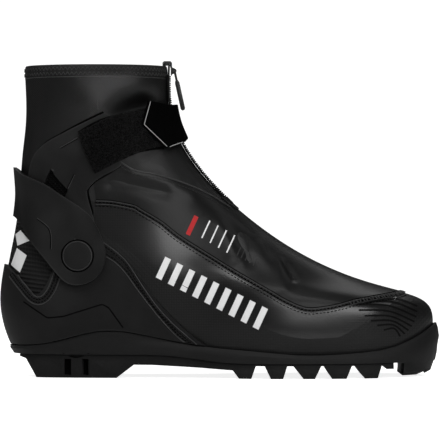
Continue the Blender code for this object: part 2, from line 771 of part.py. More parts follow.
def zip_outer():
    return LAYER_GAP + ZIP_WALL


def loop_inner(turn, level):
    """Over the outer arm, then down to the zip."""
    over_arm = arm_inner(turn, level) + ARM_WALL + LAYER_GAP
    return mix(over_arm, zip_outer() + 2 * LAYER_GAP, smooth_step((np.degrees(turn) - 106.0) / 22.0))


def hook_inner(turn, level):
    """Over the loop strap's end, then down to the inner arm."""
    over_loop = zip_outer() + 3 * LAYER_GAP + LOOP_STRAP_WALL
    over_arm = arm_inner(turn, level) + ARM_WALL + LAYER_GAP
    return mix(over_loop, over_arm, smooth_step((np.degrees(turn) - 215.0) / 35.0))


def build_straps(loop_look, hook_look):
    low = outline(LOOP_LOW, 3)
    high = outline(LOOP_HIGH, 3)
    patch("strap_loop", low, high, loop_inner, LOOP_STRAP_WALL, loop_look)
    low = outline(HOOK_LOW, 3, HOOK_CORNERS)
    high = outline(HOOK_HIGH, 3, HOOK_CORNERS)
    patch("strap_hook", low, high, hook_inner, HOOK_STRAP_WALL, hook_look)


def build_zip(look):
    """A strip down the front, on the same rows and columns as the upper behind it."""
    half = ZIP_HALF_WIDTH / COLLAR_HALF_WIDTH
    column = math.tau / TURNS
    turns = math.pi + np.array([-half, -column, 0.0, column, half])[:, None]
    foot = place(180.0, ZIP_FOOT)[1]
    levels = np.array([foot, *(level for level in UPPER_LEVELS if level > foot + 0.1)])[None, :]
    inner = raised(turns, levels, LAYER_GAP)
    shell_between("zip", raised(turns, levels, zip_outer()), inner, look)


def prism(name, outline, low, high, look=None):
    """An outline in X and Z extruded along Y."""
    count = len(outline)
    points = [(x, y, z) for y in (low, high) for x, z in outline]
    faces = [tuple(range(count)), tuple(range(count, 2 * count))]
    faces += [(i, (i + 1) % count, count + (i + 1) % count, count + i) for i in range(count)]
    return build_mesh(name, points, faces, look)


def zip_front():
    """The last's front at the collar, on its middle plane."""
    return last_point(math.pi, TOP_LEVEL)


def pull_bar():
    front = zip_front()
    eye = PULL_BAR_RADIUS + PULL_CLEARANCE + PULL_EYE_WALL
    x = front[0] + zip_outer() + GAP + SLIDER_PLATE + GAP + eye
    return x, float(front[1]), COLLAR_HEIGHT - PULL_BAR_DROP


def build_slider(look):
    """A slider that grips the collar's edge from both sides, with ears for the pull's bar."""
    front, y, _ = zip_front()
    face = front + zip_outer() + GAP
    lining = front - UPPER_WALL - 2.4 * GAP
    top = COLLAR_HEIGHT + SLIDER_RISE
    foot = COLLAR_HEIGHT - SLIDER_DROP
    outline = (
        (face, foot),
        (face + SLIDER_PLATE, foot),
        (face + SLIDER_PLATE, top - 1.0),
        (face + SLIDER_PLATE - 1.0, top),
        (lining - SLIDER_PLATE + 1.0, top),
        (lining - SLIDER_PLATE, top - 1.0),
        (lining - SLIDER_PLATE, foot),
        (lining, foot),
        (lining, COLLAR_HEIGHT + GAP),
        (face, COLLAR_HEIGHT + GAP),
    )
    slider = prism("zip_slider", outline, y - SLIDER_HALF_WIDTH, y + SLIDER_HALF_WIDTH, look)
    x, _, z = pull_bar()
    inner_face = PULL_HALF_WIDTH + PULL_CLEARANCE
    outer_face = inner_face + 1.2
    start = face + SLIDER_PLATE - 0.3
    tip = x + 1.3
    ear = ((start, z + 2.4), (start, z - 2.4), (x, z - 1.7), (tip, z - 0.8), (tip, z + 0.8), (x, z + 1.7))
    for side in (-1, 1):
        ends = sorted((y + side * inner_face, y + side * outer_face))
        boolean(slider, prism(f"ear {side}", ear, *ends), "UNION")
    reach = inner_face + 0.6
    bar = cylinder("pull bar", (x, y - reach, z), (x, y + reach, z), PULL_BAR_RADIUS, 16)
    boolean(slider, bar, "UNION")
    return slider


def build_pull(look):
    """Drawn hanging straight down from the bar at its origin, then leaned out."""
    inner = PULL_BAR_RADIUS + PULL_CLEARANCE
    outer = inner + PULL_EYE_WALL
    sides = 20
    points = []
    for y in (-PULL_HALF_WIDTH, PULL_HALF_WIDTH):
        for radius in (outer, inner):
            for i in range(sides):
                turn = math.tau * i / sides
                points.append((radius * math.cos(turn), y, radius * math.sin(turn)))
    faces = []
    for i in range(sides):
        k = (i + 1) % sides
        for a, b in ((0, 1), (3, 2), (2, 0), (1, 3)):
            faces.append((a * sides + i, a * sides + k, b * sides + k, b * sides + i))
    pull = build_mesh("zip_pull", points, faces, look)
    top = -(inner + outer) / 2  # within the eye's wall
    foot = -PULL_NECK_LENGTH - 1.0
    wall = PULL_NECK_WALL
    neck = ((-wall, top), (-wall, foot), (wall, foot), (wall, top))
    reach = PULL_HALF_WIDTH - 0.35
    boolean(pull, prism("neck", neck, -reach, reach), "UNION")
    wall = PULL_TAB_WALL / 2
    end = -PULL_LENGTH
    start = -PULL_NECK_LENGTH
    tab = (
        (-wall, start - 1.5), (-wall * 0.6, start), (wall * 0.6, start), (wall, start - 1.5),
        (wall, end + 1.2), (wall * 0.5, end), (-wall * 0.5, end), (-wall, end + 1.2),
    )
    boolean(pull, prism("tab", tab, -PULL_TAB_HALF_WIDTH, PULL_TAB_HALF_WIDTH), "UNION")
    pull.location = Vector(pull_bar()) * METRES
    pull.rotation_euler = (0.0, -PULL_LEAN, 0.0)
    for change in pull.modifiers:
        change.object.parent = pull
    return pull


# ---------------------------------------------------------------- the boot


def stand_on_floor():
    """Moves every piece so that the origin is under the middle of the boot."""
    bpy.context.view_layer.update()
    corners = []
    graph = bpy.context.evaluated_depsgraph_get()
    for piece in bpy.context.scene.objects:
        if piece.hide_render:
            continue
        shown = piece.evaluated_get(graph)
        world = shown.matrix_world
        corners += [tuple(world @ vertex.co) for vertex in shown.data.vertices]
    corners = np.array(corners)
    middle = (corners.min(axis=0) + corners.max(axis=0)) / 2
    shift = Vector((-middle[0], -middle[1], -corners[:, 2].min()))
    for piece in bpy.context.scene.objects:
        if piece.parent is None:
            piece.location += shift


def main():
    for old in list(bpy.data.objects):
        bpy.data.objects.remove(old, do_unlink=True)
    moulded = (0.022, 0.022, 0.023)
    build_upper(material("softshell and leatherette", (0.014, 0.014, 0.015), 0.5))
    build_insole(material("felt insole", (0.05, 0.05, 0.052), 0.95))
    build_sole_unit(material("sole unit rubber", (0.02, 0.02, 0.02), 0.62))
    build_outsole(material("tread rubber", (0.016, 0.016, 0.016), 0.72))
    build_binding_bar(material("steel", (0.6, 0.6, 0.6), 0.3, 1.0))
    build_counter(material("counter plastic", moulded, 0.6))
    build_band(material("cuff band plastic", moulded, 0.55))
    arm_look = material("cuff arm plastic", moulded, 0.58)
    build_arm("cuff_arm_outer", -1, arm_look)
    build_arm("cuff_arm_inner", 1, arm_look.copy())
    rivet_look = material("rivet plastic", (0.03, 0.03, 0.03), 0.4)
    build_rivet("rivet_outer", -1, rivet_look)
    build_rivet("rivet_inner", 1, rivet_look.copy())
    build_straps(
        material("loop pile", (0.03, 0.03, 0.03), 0.95),
        material("coated webbing", (0.01, 0.01, 0.012), 0.3),
    )
    build_zip(material("zip tape", (0.012, 0.012, 0.012), 0.7))
    build_slider(material("slider enamel", (0.02, 0.02, 0.02), 0.35, 0.6))
    build_pull(material("pull rubber", (0.025, 0.025, 0.025), 0.6))
    stand_on_floor()


main()
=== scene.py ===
import math
import random

import bpy
import numpy as np
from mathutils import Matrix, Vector
from mathutils.bvhtree import BVHTree
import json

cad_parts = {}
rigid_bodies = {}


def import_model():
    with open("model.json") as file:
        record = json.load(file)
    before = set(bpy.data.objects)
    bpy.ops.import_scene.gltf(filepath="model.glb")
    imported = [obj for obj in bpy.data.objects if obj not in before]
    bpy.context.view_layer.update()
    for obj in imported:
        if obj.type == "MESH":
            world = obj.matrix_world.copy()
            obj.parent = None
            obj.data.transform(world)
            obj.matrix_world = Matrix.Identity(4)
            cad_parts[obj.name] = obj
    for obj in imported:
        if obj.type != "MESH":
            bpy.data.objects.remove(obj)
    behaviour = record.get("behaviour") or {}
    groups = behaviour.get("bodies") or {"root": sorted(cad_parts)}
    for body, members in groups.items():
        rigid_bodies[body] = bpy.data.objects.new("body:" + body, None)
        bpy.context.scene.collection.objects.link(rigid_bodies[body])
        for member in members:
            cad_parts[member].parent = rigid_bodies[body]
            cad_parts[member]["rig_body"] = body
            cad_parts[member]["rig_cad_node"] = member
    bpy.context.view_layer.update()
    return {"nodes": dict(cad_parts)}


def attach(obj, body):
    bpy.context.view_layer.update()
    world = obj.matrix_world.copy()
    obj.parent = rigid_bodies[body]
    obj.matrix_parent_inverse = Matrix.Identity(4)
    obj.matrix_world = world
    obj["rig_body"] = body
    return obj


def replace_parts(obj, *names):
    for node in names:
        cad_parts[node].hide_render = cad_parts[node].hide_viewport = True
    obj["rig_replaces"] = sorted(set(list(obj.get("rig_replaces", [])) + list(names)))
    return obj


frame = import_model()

mm = 0.001
farOut = 0.2  # clear of the boot on every side, in metres
print("boot frame loaded")


# small tools of the bench

def deselect():
    if bpy.context.object and bpy.context.object.mode != "OBJECT":
        bpy.ops.object.mode_set(mode="OBJECT")
    bpy.ops.object.select_all(action="DESELECT")


def pick(*pieces):
    deselect()
    for piece in pieces:
        piece.select_set(True)
    bpy.context.view_layer.objects.active = pieces[0]


def apply(piece, kind, **settings):
    pick(piece)
    modifier = piece.modifiers.new(kind.title(), kind)
    for key, value in settings.items():
        setattr(modifier, key, value)
    bpy.ops.object.modifier_apply(modifier=modifier.name)


def subdivide(piece, levels):
    if not levels:
        return
    apply(piece, "SUBSURF", levels=levels, render_levels=levels)


def shadeSmooth(piece, angle=35):
    pick(piece)
    bpy.ops.object.shade_smooth_by_angle(angle=math.radians(angle))


def finish(piece, material=None, body="boot", angle=35):
    shadeSmooth(piece, angle)
    if material:
        piece.data.materials.append(material)
    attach(piece, body)
    return piece


def copyNode(node, name, dissolve=False):
    pick(frame["nodes"][node])
    bpy.ops.object.duplicate()
    piece = bpy.context.object
    bpy.ops.object.parent_clear(type="CLEAR_KEEP_TRANSFORM")
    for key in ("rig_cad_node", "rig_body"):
        del piece[key]
    piece.name = piece.data.name = name
    piece.data.materials.clear()
    bpy.ops.object.mode_set(mode="EDIT")
    bpy.ops.mesh.select_all(action="SELECT")
    bpy.ops.mesh.remove_doubles(threshold=0.01 * mm)
    if dissolve:
        bpy.ops.mesh.dissolve_limited(angle_limit=math.radians(0.6))
    else:
        bpy.ops.mesh.tris_convert_to_quads(face_threshold=math.radians(40),
                                           shape_threshold=math.radians(60))
    bpy.ops.mesh.select_all(action="DESELECT")
    bpy.ops.object.mode_set(mode="OBJECT")
    if piece.data.attributes.get("custom_normal"):
        piece.data.attributes.remove(piece.data.attributes["custom_normal"])
    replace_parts(piece, node)
    return piece


def treeOf(*pieces):
    points, faces = [], []
    for piece in pieces:
        start = len(points)
        points += [v.co.copy() for v in piece.data.vertices]
        faces += [[start + i for i in face.vertices] for face in piece.data.polygons]
    return BVHTree.FromPolygons(points, faces)


def smoothLine(points, step=1.0):
    # a soft curve through the points, in millimetres, with a point every step
    keys = [points[0], *points, points[-1]]
    line = []
    for a, b, c, d in zip(keys, keys[1:], keys[2:], keys[3:]):
        a, b, c, d = (np.array(p, float) for p in (a, b, c, d))
        count = max(1, int(np.linalg.norm(c - b) / step))
        for i in range(count):
            t = i / count
            line.append(0.5 * (2 * b + (c - a) * t + (2 * a - 5 * b + 4 * c - d) * t * t
                               + (3 * b - a - 3 * c + d) * t ** 3))
    line.append(np.array(points[-1], float))
    return line


def castIn(tree, x, z, side):
    # the skin at (x, z) on the outer (-1) or inner (+1) side of the boot: its place and outward normal
    start = Vector((x * mm, side * farOut, z * mm))
    place, normal, _, _ = tree.ray_cast(start, Vector((0, -side, 0)))
    if place is not None and normal.y * side < 0:
        normal = -normal
    return place, normal


def onSide(tree, points, side, lift=0.0):
    found = []
    for x, z in points:
        place, normal = castIn(tree, x, z, side)
        if place is not None:
            found.append((place + normal * lift * mm, normal))
    return found


def offsetLine(points, distance):
    line = [np.array(p, float) for p in points]
    moved = []
    for i, p in enumerate(line):
        along = line[min(i + 1, len(line) - 1)] - line[max(i - 1, 0)]
        along /= max(np.linalg.norm(along), 1e-9)
        moved.append(p + distance * np.array((-along[1], along[0])))
    return moved


def meshPiece(name, points, faces):
    mesh = bpy.data.meshes.new(name)
    mesh.from_pydata([tuple(p) for p in points], [], faces)
    piece = bpy.data.objects.new(name, mesh)
    bpy.context.scene.collection.objects.link(piece)
    return piece


def bead(name, paths, radius):
    # round cords along the paths, each a list of places
    curve = bpy.data.curves.new(name, "CURVE")
    curve.dimensions = "3D"
    curve.bevel_depth = radius * mm
    curve.bevel_resolution = 2
    curve.use_fill_caps = True
    for path in paths:
        if len(path) < 2:
            continue
        spline = curve.splines.new("POLY")
        spline.points.add(len(path) - 1)
        for point, place in zip(spline.points, path):
            point.co = (*place, 1)
    piece = bpy.data.objects.new(name, curve)
    bpy.context.scene.collection.objects.link(piece)
    pick(piece)
    bpy.ops.object.convert(target="MESH")
    return bpy.context.object


def spread(name, pattern, spots):
    # one mesh holding a copy of the pattern at each spot: (centre, along, normal, scale)
    points = np.array([v.co for v in pattern.data.vertices])
    faces = [list(f.vertices) for f in pattern.data.polygons]
    allPoints, allFaces = [], []
    for centre, along, normal, scale in spots:
        across = normal.cross(along).normalized()
        up = along.cross(across).normalized()
        turn = np.array([along.normalized(), across, up]).T
        start = len(allPoints)
        allPoints.extend((points * scale) @ turn.T + np.array(centre))
        allFaces.extend([[start + i for i in face] for face in faces])
    piece = meshPiece(name, allPoints, allFaces)
    bpy.data.objects.remove(pattern)
    return piece


def threadPattern(length, radius):
    deselect()
    bpy.ops.mesh.primitive_cylinder_add(vertices=6, radius=radius * mm, depth=length * mm,
                                        rotation=(0, math.pi / 2, 0))
    bpy.ops.object.transform_apply(location=True, rotation=True, scale=True)
    pattern = bpy.context.object
    bpy.ops.object.mode_set(mode="EDIT")
    bpy.ops.mesh.select_all(action="SELECT")
    bpy.ops.mesh.bevel(offset=radius * 0.5 * mm, segments=1, affect="EDGES")
    bpy.ops.object.mode_set(mode="OBJECT")
    return pattern


widestStep = 6  # a path or band isn't carried across a wider step of the skin than this


def alongPath(path, pitch):
    # (centre, direction, normal) every pitch millimetres of the path
    found, left = [], 0.0
    for (a, normal), (b, _) in zip(path, path[1:]):
        length = (b - a).length / mm
        if length < 1e-6 or length > widestStep:
            continue
        while left < length:
            found.append((a.lerp(b, left / length), (b - a).normalized(), normal))
            left += pitch
        left -= length
    return found


def stitches(name, paths, length=1.9, pitch=2.6, radius=0.26, zigzag=0.0):
    spots = []
    for path in paths:
        for i, (centre, along, normal) in enumerate(alongPath(path, pitch)):
            if zigzag:
                across = normal.cross(along).normalized()
                along = (along + across * zigzag * (1 if i % 2 else -1)).normalized()
            spots.append((centre, along, normal, 1.0))
    return spread(name, threadPattern(length, radius), spots)


def evenly(line, count):
    points = np.array(line, float)
    steps = np.r_[0, np.cumsum(np.linalg.norm(np.diff(points, axis=0), axis=1))]
    at = np.linspace(0, steps[-1], count)
    return np.column_stack([np.interp(at, steps, points[:, i]) for i in range(points.shape[1])])


def pressed(name, strips, tree, thick, lift=0.05, step=1.5, across=3):
    # thin bands laid on the skin: each strip is (side, first edge line, second edge line)
    points, faces = [], []
    for side, first, second in strips:
        length = max(np.linalg.norm(np.diff(np.array(line, float), axis=0), axis=1).sum()
                     for line in (first, second))
        count = max(2, int(length / step) + 1)
        rows = [evenly(first, count) * (1 - t) + evenly(second, count) * t
                for t in np.linspace(0, 1, across + 1)]
        index = {}
        for i, row in enumerate(rows):
            for k, (x, z) in enumerate(row):
                place, normal = castIn(tree, x, z, side)
                if place is None:
                    continue
                index[i, k] = len(points)
                points.append(place + normal * lift * mm)
        for i in range(across):
            for k in range(count - 1):
                corners = [(i, k), (i, k + 1), (i + 1, k + 1), (i + 1, k)]
                if not all(c in index for c in corners):
                    continue
                face = [index[c] for c in corners]
                a, b, c = (points[j] for j in face[:3])
                if (b - a).cross(c - b).y * side < 0:
                    face.reverse()
                diagonals = points[face[0]] - points[face[2]], points[face[1]] - points[face[3]]
                if max(line.length for line in diagonals) < widestStep * mm:
                    faces.append(face)
    piece = meshPiece(name, points, faces)
    pick(piece)
    bpy.ops.object.mode_set(mode="EDIT")
    bpy.ops.mesh.select_all(action="SELECT")
    bpy.ops.mesh.delete_loose()
    bpy.ops.object.mode_set(mode="OBJECT")
    apply(piece, "SOLIDIFY", thickness=thick * mm, offset=1)
    return piece


# finishes

def group(name, inputs, outputs):
    tree = bpy.data.node_groups.new(name, "ShaderNodeTree")
    for label, value in inputs.items():
        socket = tree.interface.new_socket(label, in_out="INPUT", socket_type="NodeSocketFloat")
        socket.default_value = value
    for label in outputs:
        kind = "NodeSocketColor" if label == "Colour" else "NodeSocketFloat"
        tree.interface.new_socket(label, in_out="OUTPUT", socket_type=kind)
    start = tree.nodes.new("NodeGroupInput")
    end = tree.nodes.new("NodeGroupOutput")
    return tree, start, end


def node(tree, kind, links=(), **settings):
    made = tree.nodes.new(kind)
    for key, value in settings.items():
        if key.startswith("in_"):
            made.inputs[int(key[3:]) if key[3:].isdigit()
                        else key[3:].replace("_", " ")].default_value = value
        else:
            setattr(made, key, value)
    for source, target in links:
        tree.links.new(source, made.inputs[target])
    return made


def maths(tree, operation, a, b=None):
    made = node(tree, "ShaderNodeMath", operation=operation)
    for i, value in enumerate((a, b)):
        if value is None:
            continue
        if isinstance(value, (int, float)):
            made.inputs[i].default_value = value
        else:
            tree.links.new(value, made.inputs[i])
    return made.outputs[0]


def grainGroup():
    # pebbled leather grain: small cells with fine dust between them
    tree, start, end = group("grain", {"Scale": 1100.0, "Softness": 0.5}, ["Height", "Tone"])
    place = node(tree, "ShaderNodeTexCoord").outputs["Object"]
    cells = node(tree, "ShaderNodeTexVoronoi", [(place, "Vector"), (start.outputs["Scale"], "Scale")])
    noise = node(tree, "ShaderNodeTexNoise", [(place, "Vector")], in_Scale=420.0, in_Detail=4.0)
    wide = node(tree, "ShaderNodeTexNoise", [(place, "Vector")], in_Scale=26.0, in_Detail=2.0)
    pits = maths(tree, "MULTIPLY", cells.outputs["Distance"], start.outputs["Softness"])
    height = maths(tree, "ADD", pits, noise.outputs["Fac"])
    tree.links.new(height, end.inputs["Height"])
    tree.links.new(maths(tree, "MULTIPLY", noise.outputs["Fac"], wide.outputs["Fac"]), end.inputs["Tone"])
    return tree


def weaveGroup():
    # two crossing sets of yarns at the yarn scale, with small faults
    tree, start, end = group("weave", {"Scale": 300.0, "Turn": 0.785, "Faults": 1.0}, ["Height", "Tone"])
    place = node(tree, "ShaderNodeTexCoord").outputs["Object"]
    turned = node(tree, "ShaderNodeVectorRotate", [(place, "Vector"), (start.outputs["Turn"], "Angle")],
                  rotation_type="Y_AXIS")
    split = node(tree, "ShaderNodeSeparateXYZ", [(turned.outputs[0], "Vector")])
    noise = node(tree, "ShaderNodeTexNoise", [(place, "Vector")], in_Scale=180.0, in_Detail=3.0)
    fault = maths(tree, "MULTIPLY", noise.outputs["Fac"], start.outputs["Faults"])
    waves = []
    for axis in ("X", "Z"):
        phase = maths(tree, "MULTIPLY", split.outputs[axis], start.outputs["Scale"])
        waves.append(maths(tree, "SINE", maths(tree, "ADD", maths(tree, "MULTIPLY", phase, 6.2832), fault)))
    height = maths(tree, "MAXIMUM", waves[0], waves[1])
    tree.links.new(height, end.inputs["Height"])
    tree.links.new(maths(tree, "MULTIPLY", waves[0], waves[1]), end.inputs["Tone"])
    return tree


def wearAndEdgeHighlightGroup():
    # wear where hands and snow have rubbed in a few wide patches, and edges lightened by pointiness, as
    # wear and painted highlight
    tree, start, end = group("wearAndEdgeHighlight", {"Edge": 1.0, "Patches": 0.5}, ["Mask"])
    place = node(tree, "ShaderNodeTexCoord").outputs["Object"]
    edge = node(tree, "ShaderNodeNewGeometry").outputs["Pointiness"]
    high = node(tree, "ShaderNodeMapRange", [(edge, "Value")], in_1=0.51, in_2=0.6)
    noise = node(tree, "ShaderNodeTexNoise", [(place, "Vector")], in_Scale=60.0, in_Detail=6.0)
    edgeMask = maths(tree, "MULTIPLY", maths(tree, "MULTIPLY", high.outputs[0], noise.outputs["Fac"]),
                     start.outputs["Edge"])
    wide = node(tree, "ShaderNodeTexNoise", [(place, "Vector")], in_Scale=14.0, in_Detail=3.0)
    patch = node(tree, "ShaderNodeMapRange", [(wide.outputs["Fac"], "Value")], in_1=0.45, in_2=0.75)
    tree.links.new(maths(tree, "ADD", edgeMask, maths(tree, "MULTIPLY", patch.outputs[0],
                                                      start.outputs["Patches"])),
                   end.inputs["Mask"])
    return tree


def ribGroup():
    # knitted ribs that run nearly level round the heel, with fine rows across them
    tree, start, end = group("ribs", {"Pitch": 1.0}, ["Height", "Tone"])
    place = node(tree, "ShaderNodeTexCoord").outputs["Object"]
    split = node(tree, "ShaderNodeSeparateXYZ", [(place, "Vector")])
    lean = maths(tree, "ADD", split.outputs["Z"], maths(tree, "MULTIPLY", split.outputs["X"], 0.12))
    ribs = maths(tree, "SINE", maths(tree, "MULTIPLY", lean, 2167.0))
    rows = maths(tree, "SINE", maths(tree, "MULTIPLY", split.outputs["X"], 5600.0))
    noise = node(tree, "ShaderNodeTexNoise", [(place, "Vector")], in_Scale=900.0, in_Detail=2.0)
    height = maths(tree, "ADD", maths(tree, "MULTIPLY", ribs, start.outputs["Pitch"]),
                   maths(tree, "MULTIPLY", rows, 0.3))
    tree.links.new(maths(tree, "ADD", height, noise.outputs["Fac"]), end.inputs["Height"])
    tree.links.new(ribs, end.inputs["Tone"])
    return tree


grain, weave, wearAndEdgeHighlight, ribs = grainGroup(), weaveGroup(), wearAndEdgeHighlightGroup(), ribGroup()


def colourOf(tone):
    # a tone is a red, green and blue, or one number for a grey
    return (*tone, 1) if isinstance(tone, tuple) else (tone, tone, tone, 1)


def finishOf(name, dark, light, rough, texture, textureValues, bump, bumpSize, edgeTone=None, edge=0.8,
             patches=0.35, **shader):
    # one finish: a two-tone colour, an uneven gloss and a relief, all from the shared groups; edges take
    # the lighter edge tone, as wear and painted highlight
    material = bpy.data.materials.new(name)
    material.use_nodes = True
    tree = material.node_tree
    surface = tree.nodes["Principled BSDF"]
    surface.inputs["Specular IOR Level"].default_value = 0.15
    for key, value in shader.items():
        surface.inputs[key.replace("_", " ")].default_value = value
    pattern = node(tree, "ShaderNodeGroup", node_tree=texture)
    for key, value in textureValues.items():
        pattern.inputs[key].default_value = value
    wearAndHighlight = node(tree, "ShaderNodeGroup", node_tree=wearAndEdgeHighlight)
    wearAndHighlight.inputs["Edge"].default_value = edge
    wearAndHighlight.inputs["Patches"].default_value = patches
    tone = node(tree, "ShaderNodeMapRange", [(pattern.outputs["Tone"], "Value")], in_1=0.1, in_2=0.5)
    colour = node(tree, "ShaderNodeMix", [(tone.outputs[0], 0)], data_type="RGBA")
    colour.inputs[6].default_value = colourOf(dark)
    colour.inputs[7].default_value = colourOf(light)
    wearAndHighlightColour = node(tree, "ShaderNodeMix", [(wearAndHighlight.outputs["Mask"], 0), (colour.outputs[2], 6)],
                  data_type="RGBA")
    wearAndHighlightColour.inputs[7].default_value = colourOf(edgeTone or light * 1.8)
    tree.links.new(wearAndHighlightColour.outputs[2], surface.inputs["Base Color"])
    gloss = node(tree, "ShaderNodeMapRange", [(wearAndHighlight.outputs["Mask"], "Value")], in_3=rough,
                 in_4=rough + 0.12)
    tree.links.new(gloss.outputs[0], surface.inputs["Roughness"])
    relief = node(tree, "ShaderNodeBump", [(pattern.outputs["Height"], "Height")])
    relief.inputs["Strength"].default_value = bump
    relief.inputs["Distance"].default_value = bumpSize * mm
    tree.links.new(relief.outputs[0], surface.inputs["Normal"])
    return material


softshell = finishOf("softshell", 0.003, 0.005, 0.4, weave, {"Scale": 900.0}, 0.25, 0.15,
                     Specular_IOR_Level=0.3)
leatherette = finishOf("leatherette", 0.00425, 0.007, 0.36, grain, {"Scale": 1300.0}, 0.22, 0.25,
                       Coat_Weight=0.06, Coat_Roughness=0.22)
sideFilm = finishOf("sideFilm", 0.005, 0.01, 0.42, weave, {"Scale": 420.0, "Faults": 0.4}, 0.2, 0.2,
                    Coat_Weight=0.1, Coat_Roughness=0.3)
glossFilm = finishOf("glossFilm", 0.0045, 0.009, 0.30, weave, {"Scale": 420.0, "Faults": 0.4}, 0.12,
                     0.15, Coat_Weight=0.7, Coat_Roughness=0.2)
ribbedKnit = finishOf("ribbedKnit", 0.004, 0.011, 0.7, ribs, {}, 0.8, 0.5)
liningCloth = finishOf("liningCloth", 0.006, 0.015, 0.85, weave, {"Scale": 500.0}, 0.6, 0.3,
                       Sheen_Weight=0.1)
# the counter and cuff plastics get light edge tones: painted highlight along their bevelled edges
counterPlastic = finishOf("counterPlastic", 0.0046, 0.0064, 0.54, grain, {"Scale": 1500.0}, 0.12, 0.15,
                          edgeTone=0.035, edge=1.8)
cuffPlastic = finishOf("cuffPlastic", 0.0044, 0.0062, 0.54, grain, {"Scale": 1500.0}, 0.1, 0.12,
                       edgeTone=0.045, edge=2.2)
soleRubber = finishOf("soleRubber", 0.0065, 0.0095, 0.55, grain, {"Scale": 900.0}, 0.15, 0.2)
treadRubber = finishOf("treadRubber", 0.0055, 0.01, 0.62, grain, {"Scale": 700.0}, 0.25, 0.3)
pile = finishOf("pile", 0.0012, 0.0045, 0.85, grain, {"Scale": 900.0}, 0.9, 0.8, Specular_IOR_Level=0.06)
tabGloss = finishOf("tabGloss", 0.0008, 0.0015, 0.75, grain, {"Scale": 900.0}, 0.05, 0.1,
                    Specular_IOR_Level=0.01)
pileLoop = finishOf("pileLoop", 0.001, 0.008, 0.8, grain, {"Scale": 500.0}, 0.3, 0.3,
                    Specular_IOR_Level=0.1)
rimThread = finishOf("rimThread", 0.012, 0.024, 0.5, grain, {"Scale": 2000.0}, 0.2, 0.1)
rimCloth = finishOf("rimCloth", 0.007, 0.014, 0.6, weave, {"Scale": 700.0}, 0.4, 0.2)
pullHighlight = finishOf("pullHighlight", 0.4, 0.5, 0.4, grain, {"Scale": 1200.0}, 0.08, 0.1, edgeTone=0.5)
netClothAndShade = finishOf("netClothAndShade", 0.001, 0.006, 0.8, weave, {"Scale": 520.0}, 0.9, 0.4,
                    Specular_IOR_Level=0.05)
tabEdgeHighlight = finishOf("tabEdgeHighlight", 0.32, 0.42, 0.6, grain, {"Scale": 900.0}, 0.1, 0.1, edgeTone=0.4)
thread = finishOf("thread", 0.01, 0.02, 0.55, grain, {"Scale": 2000.0}, 0.2, 0.1)
# lighter beads: real piping on the heel counter and notch, painted highlight along ridges, folds, steps and
# rims elsewhere
pipingAndHighlight = finishOf("pipingAndHighlight", 0.016, 0.024, 0.36, grain, {"Scale": 1500.0}, 0.1, 0.1, Specular_IOR_Level=0.3)
tapeCloth = finishOf("tapeCloth", 0.0045, 0.01, 0.75, weave, {"Scale": 1100.0, "Turn": 0.0}, 0.5, 0.2)
toothPlastic = finishOf("toothPlastic", 0.006, 0.01, 0.35, grain, {"Scale": 1500.0}, 0.1, 0.1)
blackMetal = finishOf("blackMetal", 0.01, 0.015, 0.32, grain, {"Scale": 1200.0}, 0.08, 0.1,
                      edgeTone=0.06, Metallic=0.6)
steel = finishOf("steel", 0.45, 0.6, 0.28, grain, {"Scale": 600.0}, 0.1, 0.1, edgeTone=0.7, Metallic=1.0)
whitePrint = finishOf("whitePrint", 0.78, 0.86, 0.45, grain, {"Scale": 900.0}, 0.06, 0.1,
                      edgeTone=0.7, patches=0.15)
redPrint = finishOf("redPrint", (0.42, 0.012, 0.016), (0.5, 0.02, 0.022), 0.45, grain, {"Scale": 900.0},
                    0.06, 0.1, edgeTone=(0.4, 0.03, 0.03), patches=0.15)
greyPrint = finishOf("greyPrint", 0.0175, 0.025, 0.5, grain, {"Scale": 900.0}, 0.05, 0.1)
darkThread = finishOf("darkThread", 0.0006, 0.0015, 0.8, grain, {"Scale": 2000.0}, 0.2, 0.1,
                      Specular_IOR_Level=0.01)
borderMesh = finishOf("borderMesh", 0.003, 0.012, 0.7, weave, {"Scale": 700.0}, 0.8, 0.3)
grooveShade = finishOf("grooveShade", 0.001, 0.002, 0.8, grain, {"Scale": 1500.0}, 0.1, 0.1,
                       edge=0.0, Specular_IOR_Level=0.02)
stripePrint = finishOf("stripePrint", 0.0016, 0.003, 0.6, grain, {"Scale": 1500.0}, 0.1, 0.1,
                       edge=0.2, Specular_IOR_Level=0.07)
felt = finishOf("felt", 0.01, 0.025, 0.9, grain, {"Scale": 700.0}, 0.6, 0.4, Sheen_Weight=0.2)
print("finishes mixed")


# the upper: one soft shell, smoothed, with its panels

